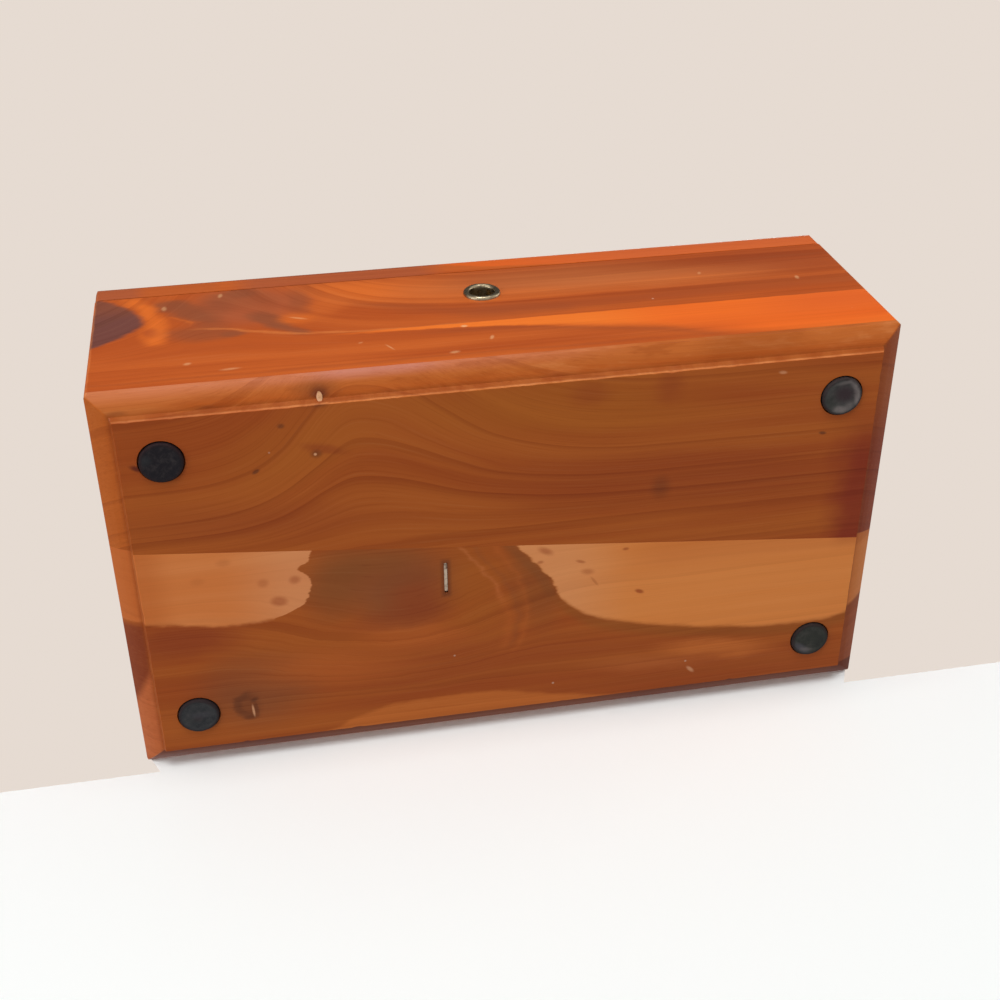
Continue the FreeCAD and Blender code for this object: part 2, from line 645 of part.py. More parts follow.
def back_plate():
    """The lock's back plate, flush with the inner face, and its top plate, flush with the top of the wall."""
    upright = box(
        "plate_upright",
        (f"-{PLATE_HALF}", PLATE_FACE, PLATE_BOTTOM),
        (f"2 * {PLATE_HALF}", "sheet", PLATE_HEIGHT),
    )
    top = box(
        "plate_top",
        (f"-{WORKS_HALF}", CHEEK_BACK, f"{WALL_TOP} - sheet"),
        (f"2 * {WORKS_HALF}", f"wall_thick - {CHEEK} - sheet", "sheet"),
    )
    opening = (
        "finger_width + barb_length + 2 * hook_side",
        "hook_thick + 2 * hook_swing",
        "sheet + 2 * overrun",
    )
    holes = []
    for index, hook in enumerate(HOOKS):
        low = (
            f"{hook} - barb_length / 2 - hook_side",
            f"{HOOK_FACE} - hook_thick - hook_swing",
            f"{WALL_TOP} - sheet - overrun",
        )
        holes.append(box(f"hook_slot_{index}", low, opening))
    for side, sign in SIDES:
        holes.append(screw_shape(f"plate_screw_hole_{side}", lock_screw_at(sign), TO_FRONT))
    return subpart(cut("back_plate", joined("plate_blank", [upright, top]), holes), "lock_back_plate")


def cover_plate():
    plate = box(
        "cover_blank",
        (f"-{WORKS_HALF} + cover_margin", CHEEK_BACK, f"{WORKS_BOTTOM} + cover_margin"),
        (f"2 * {WORKS_HALF} - 2 * cover_margin", "cover_thick", f"{WORKS_HEIGHT} - sheet - 2 * cover_margin"),
    )
    start = f"{CHEEK_BACK} + cover_thick + overrun"
    hole = rod("cover_keyhole", "key_hole", "cover_thick + 2 * overrun", ("0", start, KEY_LEVEL), TO_FRONT)
    slot = box(
        "cover_slot",
        ("-key_slot / 2", f"{CHEEK_BACK} - overrun", f"{KEY_LEVEL} - key_slot_reach"),
        ("key_slot", "cover_thick + 2 * overrun", "key_slot_reach"),
    )
    return subpart(cut("cover_plate", plate, [joined("cover_opening", [hole, slot])]), "lock_cover_plate")


def lock_bolt():
    """The bar with its two hooked fingers, its guide slots and the notch for the key, drawn back."""
    bar = box(
        "bolt_bar",
        ("-bolt_left", f"{BOLT_FACE} - bolt_thick", BAR_BOTTOM),
        ("bolt_left + bolt_right", "bolt_thick", "bolt_height"),
    )
    pieces = [bar]
    for index, hook in enumerate(HOOKS):
        stem = f"({hook} - barb_length / 2 - bolt_travel - 2 * finger_width - slide_gap)"
        pieces.append(box(
            f"finger_stem_{index}",
            (stem, f"{BOLT_FACE} - bolt_thick", BAR_TOP),
            ("finger_width", "bolt_thick", f"{FINGER_TOP} - {BAR_TOP}"),
        ))
        pieces.append(box(
            f"finger_barb_{index}",
            (stem, f"{BOLT_FACE} - bolt_thick", f"{FINGER_TOP} - barb_height"),
            ("finger_width + barb_length - slide_gap", "bolt_thick", "barb_height"),
        ))
    slots = [
        guide_slot("guide_slot_left", "-guide_left"),
        guide_slot("guide_slot_right", "guide_right"),
        box(
            "key_notch",
            (
                "-bolt_travel / 2 - notch_width / 2",
                f"{BOLT_FACE} - bolt_thick - overrun",
                f"{BAR_BOTTOM} - overrun",
            ),
            ("notch_width", "bolt_thick + 2 * overrun", "notch_depth + overrun"),
        ),
    ]
    return subpart(cut("bolt", joined("bolt_blank", pieces), slots), "lock_bolt")


def guide_slot(name, post):
    """A slot with round ends that a guide post runs in, as long as the bolt's travel."""
    width = "(guide_radius + slide_gap)"
    start = f"{BOLT_FACE} + overrun"
    deep = "bolt_thick + 2 * overrun"
    ends = [
        rod(f"{name}_{index}", width, deep, (at, start, BAR_MIDDLE), TO_FRONT)
        for index, at in enumerate((post, f"{post} - bolt_travel"))
    ]
    middle = box(
        name + "_middle",
        (f"{post} - bolt_travel", f"{BOLT_FACE} - bolt_thick - overrun", f"{BAR_MIDDLE} - {width}"),
        ("bolt_travel", deep, f"2 * {width}"),
    )
    return joined(name, ends + [middle])


def guide_posts():
    """Two shouldered posts for the bolt and a plain one for the spring, riveted between the two plates."""
    long = f"wall_thick - {CHEEK} - sheet - cover_thick"
    posts = []
    for side, at in (("left", "-guide_left"), ("right", "guide_right")):
        root = (at, PLATE_FACE, BAR_MIDDLE)
        stem = rod(f"guide_stem_{side}", "guide_radius", long, root, TO_FRONT)
        collar = rod(f"guide_collar_{side}", "guide_shoulder", "bolt_stand - slide_gap", root, TO_FRONT)
        posts.append(joined(f"guide_post_{side}", [stem, collar]))
    root = ("-spring_post_left", PLATE_FACE, SPRING_LEVEL)
    posts.append(rod("spring_post", "guide_radius", long, root, TO_FRONT))
    return subpart(group("posts", posts), "lock_guide_posts")


def key_pin():
    long = f"wall_thick - {CHEEK} - sheet - key_pin_short"
    pin = rod("key_post", "key_pin_radius", long, ("0", PLATE_FACE, KEY_LEVEL), TO_FRONT)
    return subpart(pin, "key_pin")


def lock_spring():
    """A leaf from an eye on its post up to a flat tip just under the bolt."""
    body = doc.addObject("PartDesign::Body", "spring_leaf_body")
    under = f"({BAR_BOTTOM} - slide_gap)"
    foot = f"({SPRING_LEVEL} + spring_eye)"
    tip = "(spring_reach - spring_post_left)"
    bend = "(spring_reach - spring_tip - spring_post_left)"
    side = [
        ("-spring_post_left", f"{foot} - spring_leaf"),
        (bend, f"{under} - spring_leaf"),
        (tip, f"{under} - spring_leaf"),
        (tip, under),
        (bend, under),
        ("-spring_post_left", foot),
    ]
    leaf = outline(body, "spring_side", "XZ_Plane", side, f"-{BOLT_FACE}")
    padded(body, "spring_strip", leaf, "bolt_thick")
    middle = ("-spring_post_left", BOLT_FACE, SPRING_LEVEL)
    eye = rod("spring_eye_round", "spring_eye", "bolt_thick", middle, TO_FRONT)
    start = ("-spring_post_left", f"{BOLT_FACE} + overrun", SPRING_LEVEL)
    bore = rod("spring_eye_bore", "guide_radius + pin_gap", "bolt_thick + 2 * overrun", start, TO_FRONT)
    return subpart(cut("spring", joined("spring_blank", [body, eye]), [bore]), "lock_spring")


def lock_screws():
    screws = [
        slotted(
            f"lock_screw_{side}",
            lock_screw_at(sign),
            TO_FRONT,
            (
                f"{sign}{LOCK_SCREW_OUT} - screw_head - overrun",
                f"{INNER_FRONT} - screw_slot_deep",
                f"{LOCK_SCREW_LEVEL} - screw_slot / 2",
            ),
            ("2 * screw_head + 2 * overrun", "screw_slot_deep + overrun", "screw_slot"),
        )
        for side, sign in SIDES
    ]
    return subpart(group("lock_screw_pair", screws), "lock_screws")


def striker_plate():
    """A plate let into the lid's underside with two hooks that drop through the lock's top plate."""
    pieces = [box(
        "striker_flat",
        (f"-{STRIKER_HALF}", f"{HOOK_MIDDLE} - striker_deep / 2", LID_BOTTOM),
        (f"2 * {STRIKER_HALF}", "striker_deep", "striker_thick"),
    )]
    for index, hook in enumerate(HOOKS):
        stem = f"({hook} + barb_length / 2)"
        pieces.append(box(
            f"hook_stem_{index}",
            (stem, f"{HOOK_FACE} - hook_thick", HOOK_BOTTOM),
            ("finger_width", "hook_thick", f"{LID_BOTTOM} + striker_thick / 2 - {HOOK_BOTTOM}"),
        ))
        pieces.append(box(
            f"hook_barb_{index}",
            (f"{stem} - barb_length", f"{HOOK_FACE} - hook_thick", HOOK_BOTTOM),
            ("barb_length + finger_width", "hook_thick", "barb_height"),
        ))
    holes = [screw_shape(f"striker_hole_{side}", striker_screw_at(sign), UPRIGHT) for side, sign in SIDES]
    return subpart(cut("striker", joined("striker_blank", pieces), holes), "striker_plate")


def striker_screws():
    screws = [
        slotted(
            f"striker_screw_{side}",
            striker_screw_at(sign),
            UPRIGHT,
            (
                f"{sign}striker_screw_out - screw_head - overrun",
                f"{HOOK_MIDDLE} - screw_slot / 2",
                f"{LID_BOTTOM} - overrun",
            ),
            ("2 * screw_head + 2 * overrun", "screw_slot", "screw_slot_deep + overrun"),
        )
        for side, sign in SIDES
    ]
    return subpart(group("striker_screw_pair", screws), "striker_screws")


# Hinges.

def hinge_room(name, sign, low):
    """Room for a leaf and the barrel of one hinge, in the wall's top or the lid's underside."""
    left = f"({sign}{HINGE_OUT} - hinge_length / 2)"
    size = ("hinge_length", LEAF_WIDTH, "leaf_thick + overrun")
    leaf = box(name + "_leaf_room", (left, f"{HINGE_LINE} - {LEAF_WIDTH}", low), size)
    start = (f"{left} - barrel_gap", HINGE_LINE, HINGE_LEVEL)
    long = "hinge_length + 2 * barrel_gap"
    barrel = rod(name + "_barrel_room", "barrel_radius + barrel_gap", long, start, ALONG_X)
    return [leaf, barrel]


def hinge_screw_seats(sign, upper):
    level = LID_BOTTOM if upper else WALL_TOP
    out = "(hinge_length / 2 - hinge_screw_from_end)"
    return [(f"{sign}{HINGE_OUT} {way} {out}", f"{HINGE_LINE} - hinge_screw_in", level) for way in ("-", "+")]


def hinge_screws(name, sign, upper):
    turn = UPRIGHT if upper else DOWNWARD
    seats = hinge_screw_seats(sign, upper)
    return [screw_shape(f"{name}_{index}", seat, turn) for index, seat in enumerate(seats)]


def hinge_leaf(label, sign, upper):
    """A leaf with its own knuckles: the outer and middle ones on the wall, the two between on the lid."""
    left = f"({sign}{HINGE_OUT} - hinge_length / 2)"
    low = LID_BOTTOM if upper else f"({WALL_TOP} - leaf_thick)"
    pitch = "(hinge_length * knuckle_share)"
    short = f"{HINGE_LINE} - {LEAF_WIDTH}"
    flat_width = f"{LEAF_WIDTH} - barrel_radius - barrel_gap"
    pieces = [box(label + "_flat", (left, short, low), ("hinge_length", flat_width, "leaf_thick"))]
    for index in (1, 3) if upper else (0, 2, 4):
        start = f"({left} + {index} * {pitch} + knuckle_gap / 2)"
        wide = f"{pitch} - knuckle_gap"
        line = (start, HINGE_LINE, HINGE_LEVEL)
        pieces.append(box(f"{label}_tongue_{index}", (start, short, low), (wide, LEAF_WIDTH, "leaf_thick")))
        pieces.append(rod(f"{label}_knuckle_{index}", "barrel_radius", wide, line, ALONG_X))
    line = (f"{left} - overrun", HINGE_LINE, HINGE_LEVEL)
    bore = rod(label + "_bore", "hinge_pin + pin_gap", "hinge_length + 2 * overrun", line, ALONG_X)
    tools = [bore] + hinge_screws(label + "_hole", sign, upper)
    return subpart(cut(label + "_shape", joined(label + "_blank", pieces), tools), label)


def hinges():
    for side, sign in SIDES:
        hinge_leaf(f"hinge_{side}_wall_leaf", sign, False)
        hinge_leaf(f"hinge_{side}_lid_leaf", sign, True)
        start = (f"{sign}{HINGE_OUT} - hinge_length / 2", HINGE_LINE, HINGE_LEVEL)
        pin = rod(f"hinge_{side}_pin_rod", "hinge_pin", "hinge_length", start, ALONG_X)
        subpart(pin, f"hinge_{side}_pin")
    for label, upper, turn in (("hinge_wall_screws", False, DOWNWARD), ("hinge_lid_screws", True, UPRIGHT)):
        screws = []
        for side, sign in SIDES:
            for index, seat in enumerate(hinge_screw_seats(sign, upper)):
                slot_low = f"{seat[2]} - overrun" if upper else f"{seat[2]} - screw_slot_deep"
                screws.append(slotted(
                    f"{label}_{side}_{index}",
                    seat,
                    turn,
                    (f"{seat[0]} - screw_head - overrun", f"{seat[1]} - screw_slot / 2", slot_low),
                    ("2 * screw_head + 2 * overrun", "screw_slot", "screw_slot_deep + overrun"),
                ))
        subpart(group(label + "_group", screws), label)


front_wall()
rear_wall()
end_walls()
base_corners = corner_block("base_corners", "corner_ease", "base_thick", UNDERSIDE)
base_board("base_board_front", True, base_corners)
base_board("base_board_rear", False, base_corners)
feet()
subpart(joined("staple", staple_pieces("staple", False)), "base_staple")
subpart(brad_shape("brad", False), "base_brad")
lid_corners = corner_block("lid_corners", "lid_corner", "lid_thick", LID_BOTTOM)
lid_board("lid_board_front", True, lid_corners)
lid_board("lid_board_rear", False, lid_corners)
keyhole_eyelet()
back_plate()
cover_plate()
lock_bolt()
guide_posts()
key_pin()
lock_spring()
lock_screws()
striker_plate()
striker_screws()
hinges()

doc.recompute()

# Every object has to have built, and every sub-part has to be a sound solid, before anything is written.
for thing in doc.Objects:
    if "Invalid" in thing.State or "Error" in thing.State:
        raise RuntimeError(f"{thing.Label} did not build: {thing.State}")
for piece in subparts:
    if piece.Shape.isNull() or not piece.Shape.isValid():
        raise RuntimeError(f"{piece.Label} has no sound shape")

os.makedirs("parts", exist_ok=True)
for piece in subparts:
    piece.Shape.exportStep(f"parts/{piece.Label}.step")
    print(f"{piece.Label}: {len(piece.Shape.Solids)} solid(s), {piece.Shape.Volume:.1f} mm3")
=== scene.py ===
import math

import bmesh
import bpy
from mathutils import Matrix, Vector, noise


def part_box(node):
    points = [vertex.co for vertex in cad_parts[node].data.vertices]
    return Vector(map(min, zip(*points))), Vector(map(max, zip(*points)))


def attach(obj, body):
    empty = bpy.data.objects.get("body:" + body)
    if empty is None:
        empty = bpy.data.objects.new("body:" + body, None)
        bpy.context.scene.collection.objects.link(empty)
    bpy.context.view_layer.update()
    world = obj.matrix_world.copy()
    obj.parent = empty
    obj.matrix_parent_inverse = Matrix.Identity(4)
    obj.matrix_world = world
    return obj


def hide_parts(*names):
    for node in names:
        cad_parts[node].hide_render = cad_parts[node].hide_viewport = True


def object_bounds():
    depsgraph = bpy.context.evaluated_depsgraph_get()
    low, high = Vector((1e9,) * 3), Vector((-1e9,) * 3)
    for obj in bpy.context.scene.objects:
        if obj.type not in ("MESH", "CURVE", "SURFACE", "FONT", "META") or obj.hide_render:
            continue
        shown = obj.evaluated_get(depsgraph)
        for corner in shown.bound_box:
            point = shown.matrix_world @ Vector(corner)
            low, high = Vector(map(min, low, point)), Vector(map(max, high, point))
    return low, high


bl_info = {
    "name": "Cedar Chest Finish",
    "version": (1, 0, 0),
    "blender": (4, 5, 0),
    "location": "3D View > Sidebar > Cedar Chest",
    "description": "Finishes a small red cedar chest: eased boards, worn feet, metal fittings and lacquer",
    "category": "Object",
}

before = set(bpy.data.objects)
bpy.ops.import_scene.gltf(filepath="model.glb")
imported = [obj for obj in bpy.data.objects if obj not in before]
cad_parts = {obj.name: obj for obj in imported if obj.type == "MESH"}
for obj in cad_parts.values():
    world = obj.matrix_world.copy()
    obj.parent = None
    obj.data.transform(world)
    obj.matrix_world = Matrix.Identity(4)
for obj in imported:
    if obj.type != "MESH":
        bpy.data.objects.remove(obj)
CAD_LOW, CAD_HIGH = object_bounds()

# Shader patterns are written in millimetres, and the frame is in metres.
MILLIMETRES = 1000
MM = 1 / MILLIMETRES
SAME_POINT = 0.001 * MM
FULL_TURN = 2 * math.pi
COLOUR_MAX = 255


def shade(red, green, blue):
    """A colour read off a photograph, as the linear colour that Blender works in."""
    # The curve of the usual display colours: a short straight foot, then a power.
    return tuple(
        share / 12.92 if share <= 0.04045 else ((share + 0.055) / 1.055) ** 2.4
        for share in (level / COLOUR_MAX for level in (red, green, blue))
    )


def colour_property(name, description, red, green, blue):
    return bpy.props.FloatVectorProperty(
        name=name, description=description, subtype="COLOR", size=3, min=0, max=1,
        default=shade(red, green, blue),
    )


def length_property(name, description, default, low=0.0):
    return bpy.props.FloatProperty(
        name=name, description=description, subtype="DISTANCE", unit="LENGTH", min=low, default=default * MM
    )


def level_property(name, description, default):
    return bpy.props.FloatProperty(
        name=name, description=description, subtype="FACTOR", min=0, max=1, default=default
    )


class ChestCedar(bpy.types.PropertyGroup):
    """Colours of the lacquered walls and lid."""

    heart: colour_property("Heartwood", "Main colour of the heartwood", 181, 80, 28)
    light: colour_property("Light heartwood", "Paler parts of the heartwood", 200, 96, 36)
    dark: colour_property("Dark heart", "Purple brown wood beside the knots", 112, 68, 62)
    sap: colour_property("Sapwood", "Bright outer wood", 240, 112, 34)
    sap_deep: colour_property("Deep sapwood", "Redder parts of the sapwood", 226, 94, 26)
    knot: colour_property("Knot", "Heart of a knot", 92, 40, 20)
    raw: colour_property("Raw cedar", "Unfinished wood inside the chest", 205, 142, 104)
    rubbed: colour_property("Rubbed edge", "Edges where the finish has gone", 222, 136, 76)


class ChestBaseCedar(bpy.types.PropertyGroup):
    """Colours of the base, whose finish is thinner."""

    heart: colour_property("Heartwood", "Main colour of the heartwood", 176, 84, 33)
    light: colour_property("Light heartwood", "Paler parts of the heartwood", 190, 100, 40)
    dark: colour_property("Swirl", "Soft greenish brown swirl by the staple", 156, 88, 48)
    sap: colour_property("Sapwood", "Pale outer wood", 243, 150, 86)
    sap_deep: colour_property("Deep sapwood", "Deeper parts of the sapwood", 232, 132, 66)
    knot: colour_property("Knot", "Heart of a knot", 104, 56, 34)
    raw: colour_property("Raw cedar", "Unfinished wood inside the chest", 205, 142, 104)
    # At the foot of the bevel this pale colour is partly a painted highlight of the arris.
    rubbed: colour_property("Torn edge", "Broken wood at the foot of the bevel", 226, 146, 88)


class ChestMetal(bpy.types.PropertyGroup):
    """Colours of the fittings and the feet."""

    nickel: colour_property("Nickel", "Plate of the keyhole eyelet", 168, 154, 128)
    tarnish: colour_property("Tarnish", "Dull film on the nickel", 92, 80, 62)
    brass: colour_property("Brass", "Hinges and their screws", 196, 156, 84)
    brass_dull: colour_property("Dull brass", "Aged film on the brass", 122, 88, 44)
    steel: colour_property("Steel", "Lock and wire", 190, 172, 154)
    brad: colour_property("Brad", "Bright head of the brad", 224, 172, 132)
    rust: colour_property("Rust", "Rust specks on the steel", 96, 50, 26)
    rubber: colour_property("Rubber", "Rubber that has kept its black", 26, 23, 29)
    rubber_worn: colour_property("Worn rubber", "Ground and dusty rubber", 132, 123, 121)


class ChestSizes(bpy.types.PropertyGroup):
    """Small sizes of the finish, which the construction leaves out."""

    wall_ease: length_property("Board edges", "Rounding of the edges of the boards", 0.22)
    joint_ease: length_property("Glued edges", "Rounding at the edges of the base boards", 0.12)
    metal_ease: length_property("Metal edges", "Rounding of the edges of the fittings", 0.08)
    torn_edge: length_property("Torn edge", "How far the foot of the bevel is torn in", 0.45)
    torn_step: length_property("Torn edge step", "Distance between the points of that edge", 1.3, 0.2)
    foot_dish: length_property("Foot dish", "How far the worn middle of a foot is hollowed", 0.25)
    foot_gap: length_property("Foot gap", "How far the rubber has shrunk away from its recess", 0.26)
    staple_bend: length_property("Staple bend", "Radius of the bends of the staple", 0.9, 0.1)


class ChestStage(bpy.types.PropertyGroup):
    """The camera, the room's light and the colours round the chest."""

    camera_place: bpy.props.FloatVectorProperty(
        name="Camera", description="Place of the camera", subtype="XYZ", unit="LENGTH",
        default=(-0.06967, -0.24073, -0.34877),
    )
    lens: bpy.props.FloatProperty(
        name="Lens", description="Focal length on a sensor 36 mm wide, in millimetres", default=51.74,
        min=10,
    )
    world_level: level_property("Fill", "Even light from all round, where 1 shows a colour as written", 0.36)
    backdrop: level_property("Backdrop", "How bright the backdrop looks, where 1 is white", 0.82)
    ceiling: level_property("Ceiling", "How bright the room above the front looks in reflections", 0.12)
    backdrop_colour: colour_property("Backdrop colour", "Tint of the backdrop", 251, 239, 229)
    floor_colour: colour_property("Floor", "Pale floor and table", 251, 255, 255)


# Nodes.

class Wire:
    """A node's output, which ordinary signs build Math nodes on."""

    def __init__(self, net, socket):
        self.net = net
        self.socket = socket

    def __neg__(self):
        return self * -1

    def __abs__(self):
        return self.net.math("ABSOLUTE", self)


def add_sign(name, operation):
    """Give wires a sign, also for a plain number that stands before the wire."""
    setattr(Wire, f"__{name}__", lambda wire, other: wire.net.math(operation, wire, other))
    setattr(Wire, f"__r{name}__", lambda wire, other: wire.net.math(operation, other, wire))


for sign in (("add", "ADD"), ("sub", "SUBTRACT"), ("mul", "MULTIPLY"), ("truediv", "DIVIDE")):
    add_sign(*sign)


class Net:
    """A node tree, with a short call for each kind of node that the finishes use."""

    def __init__(self, tree):
        self.tree = tree

    def feed(self, socket, value):
        """Link a wire to an input, or set the input to a plain value."""
        if isinstance(value, Wire):
            self.tree.links.new(value.socket, socket)
        elif hasattr(value, "__len__") and len(socket.default_value) > len(value):
            socket.default_value = (*value, 1)
        else:
            socket.default_value = value

    def node(self, kind, inputs=(), **settings):
        """A node with its settings. Its inputs are given in order, or under their names or numbers."""
        made = self.tree.nodes.new("ShaderNode" + kind)
        for name, value in settings.items():
            setattr(made, name, value)
        for key, value in inputs.items() if isinstance(inputs, dict) else enumerate(inputs):
            self.feed(made.inputs[key], value)
        return made

    def wire(self, kind, inputs=(), output=0, **settings):
        """One output of such a node."""
        return Wire(self, self.node(kind, inputs, **settings).outputs[output])

    def math(self, operation, *values):
        return self.wire("Math", values, operation=operation)

    def most(self, *masks):
        """The highest of several masks."""
        highest = masks[0]
        for mask in masks[1:]:
            highest = self.math("MAXIMUM", highest, mask)
        return highest

    def length(self, *parts):
        """How far a place is from the origin, from its coordinates."""
        first, *others = (part * part for part in parts)
        return self.math("SQRT", sum(others, first))

    def split(self, vector):
        return [Wire(self, socket) for socket in self.node("SeparateXYZ", (vector,)).outputs]

    def join(self, *parts):
        return self.wire("CombineXYZ", parts)

    def step(self, value, low, high):
        """0 below low, 1 above high and a smooth rise between. With low above high it falls."""
        return self.wire("MapRange", (value, low, high), interpolation_type="SMOOTHSTEP")

    def within(self, *limits):
        """The steps of several limits, each a value, low and high, multiplied."""
        mask = self.step(*limits[0])
        for limit in limits[1:]:
            mask = mask * self.step(*limit)
        return mask

    def noise(self, vector, scale=1.0, detail=2.0, roughness=0.5):
        given = {"Vector": vector, "Scale": scale, "Detail": detail, "Roughness": roughness}
        return self.wire("TexNoise", given)

    def cells(self, vector, scale):
        """Distance to the nearest of scattered points, and a random level for each of them."""
        made = self.node("TexVoronoi", {"Vector": vector, "Scale": scale})
        chance = self.wire("SeparateColor", (Wire(self, made.outputs["Color"]),))
        return Wire(self, made.outputs["Distance"]), chance

    def random(self, value):
        return self.wire("TexWhiteNoise", {"W": value}, "Value", noise_dimensions="1D")

    def blend(self, factor, first, second, mode="MIX"):
        """Two colours mixed."""
        given = {0: factor, 6: first, 7: second}
        return self.wire("Mix", given, 2, data_type="RGBA", blend_type=mode, clamp_factor=True)

    def profile(self, along, points):
        """A smooth line through points given as (along, across), read at along."""
        first, last = points[0][0], points[-1][0]
        levels = [across for _, across in points]
        low, high = min(levels), max(levels)
        curve = self.node("FloatCurve", {"Value": self.wire("MapRange", (along, first, last))})
        spots = curve.mapping.curves[0].points
        for index, (place, level) in enumerate(points):
            spot = ((place - first) / (last - first), (level - low) / (high - low))
            if index in (0, len(points) - 1):
                spots[0 if index == 0 else -1].location = spot
            else:
                spots.new(*spot)
        curve.mapping.update()
        return Wire(self, curve.outputs[0]) * (high - low) + low

    def use(self, group, *values):
        """A shared node group, its inputs in order. A single output comes back alone, several as a list."""
        made = self.node("Group", values, node_tree=groups[group])
        wires = [Wire(self, socket) for socket in made.outputs]
        return wires if len(wires) > 1 else wires[0]


# Shared node groups. Sockets are numbers unless their name is here.
SOCKETS = {"Position": "NodeSocketVector", "Half": "NodeSocketVector", "Color": "NodeSocketColor"}

group_plans = {}
groups = {}


def shared(title, inputs, outputs):
    """Mark a function that fills a node group: it gets the group's inputs, and gives its outputs."""
    def mark(fill):
        group_plans[fill] = (title, inputs, outputs)
        return fill

    return mark


def build_groups():
    """Every shared node group, once."""
    for fill, (title, inputs, outputs) in group_plans.items():
        tree = bpy.data.node_groups.new(title, "ShaderNodeTree")
        for way, labels in (("INPUT", inputs), ("OUTPUT", outputs)):
            for label in labels.split():
                kind = SOCKETS.get(label, "NodeSocketFloat")
                tree.interface.new_socket(label, in_out=way, socket_type=kind)
        net = Net(tree)
        entry, leave = tree.nodes.new("NodeGroupInput"), tree.nodes.new("NodeGroupOutput")
        wires = fill(net, *(Wire(net, socket) for socket in entry.outputs if socket.name))
        for socket, wire in zip(leave.inputs, wires if isinstance(wires, tuple) else (wires,)):
            net.feed(socket, wire)
        groups[fill] = tree


@shared("Grain Hump", "Along Middle Before After", "Push")
def hump_group(net, along, middle, before, after):
    """How strongly the grain is pushed aside at a place along the board, from 0 to 1."""
    away = along - middle
    share = away / (before + (after - before) * net.step(away, -1, 1))
    return net.math("EXPONENT", -(share * share))


@shared("Board Level", "Along Across Depth Slope Push Start Gain Curl Seed", "Level")
def level_group(net, along, across, depth, slope, push, start, gain, curl, seed):
    """The level of growth at a place in a board: lines of equal level are its rings."""
    bent = across - net.math("MAXIMUM", across - start, 0) * push * gain
    slow = net.noise(net.join(along * 0.009, across * 0.03, depth * 0.03 + seed))
    quick = net.noise(net.join(along * 0.035, across * 0.11, depth * 0.11 + seed))
    return bent + depth * slope + (slow - 0.5) * curl + (quick - 0.5) * curl * 0.22


@shared("Cedar Figure", "Along Level Depth Pitch Seed", "Ring Streak Fleck Band")
def figure_group(net, along, level, depth, pitch, seed):
    """Rings, fibres, flecks and soft bands of cedar, from the level of growth."""
    drift = net.noise(net.join(along * 0.0025, level * 0.13, seed))
    phase = (level + (drift - 0.5) * 16) / pitch
    share = net.math("FRACT", phase)
    late = net.within((share, 0.1, 0.9), (share, 1.0, 0.93))
    year = net.random(net.math("FLOOR", phase) + seed)
    fine = net.noise(net.join(along * 0.02, level * 2.1, depth * 2.1 + seed), detail=4.0, roughness=0.6)
    fleck = net.noise(net.join(along * 0.12, level * 3.0, depth * 3.0 + seed))
    band = net.noise(net.join(along * 0.006, level * 0.11, depth * 0.06 + seed), detail=3.0, roughness=0.55)
    return late * (0.1 + year * year * 0.9), fine, net.step(fleck, 0.62, 0.74), net.step(band, 0.34, 0.66)


@shared("Cedar Grain", "Color Ring Streak Fleck Strength", "Color")
def grain_group(net, colour, ring, streak, fleck, strength):
    """Darken and redden a board's colour along its rings and fibres."""
    colour = net.blend(ring * strength, colour, shade(198, 168, 150), "MULTIPLY")
    dark, pale = net.step(streak, 0.5, 0.76) * 0.8, net.step(streak, 0.47, 0.24) * 0.11
    colour = net.blend(dark * strength, colour, shade(214, 190, 176), "MULTIPLY")
    colour = net.blend(pale * strength, colour, shade(244, 178, 120), "SCREEN")
    return net.blend(fleck * strength * 0.3, colour, shade(190, 150, 130), "MULTIPLY")


@shared("Ragged Edge", "Distance Along Across Ragged Soft", "Mask")
def ragged_group(net, distance, along, across, ragged, soft):
    """A mask that is 1 where a distance is positive, its edge made ragged by the fibres."""
    coarse = net.noise(net.join(along * 0.16, across * 0.4, 3.3), detail=3.0)
    fine = net.noise(net.join(along * 0.5, across * 1.9, 7.1))
    shifted = distance + (coarse - 0.5) * ragged * 2 + (fine - 0.5) * ragged * 0.6
    return net.step(shifted, -soft, soft)


@shared("Wander", "Along Across Seed Amount", "Along Across")
def wander_group(net, along, across, seed, amount):
    """Places moved a little by slow noise, so that what is drawn on them is uneven."""
    first = net.noise(net.join(along * 0.07, across * 0.13, seed), detail=4.0, roughness=0.6)
    second = net.noise(net.join(along * 0.05, across * 0.16, seed + 40), detail=4.0, roughness=0.6)
    return along + (first - 0.5) * amount, across + (second - 0.5) * amount * 0.7


@shared("Wood Spot", "Along Across Middle Height Long Short Lean Soft", "Mask Away")
def spot_group(net, along, across, middle, height, long, short, lean, soft):
    """A soft oval mark, and how far a place is from its middle, where 1 is its edge."""
    side, rise = along - middle, across - height
    cosine, sine = net.math("COSINE", lean), net.math("SINE", lean)
    away = net.length((side * cosine + rise * sine) / long, (rise * cosine - side * sine) / short)
    return net.step(away, soft + 1, 1 - soft), away


@shared("Rubbed Edge", "Position Half Middle Width", "Mask")
def edge_group(net, position, half, middle, width):
    """Where the outer edges of a board are rubbed, from how near they are to the sides of the chest."""
    x, y, z = net.split(position)
    sides = zip((x, y, z - middle), net.split(half))
    near = [net.step(size - abs(spot), width * 2, 0) for spot, size in sides]
    pairs = near[0] * near[1] + near[1] * near[2] + near[0] * near[2]
    return net.step(pairs * (0.35 + net.noise(position, scale=0.12, detail=3.0)), 0.35, 0.8)


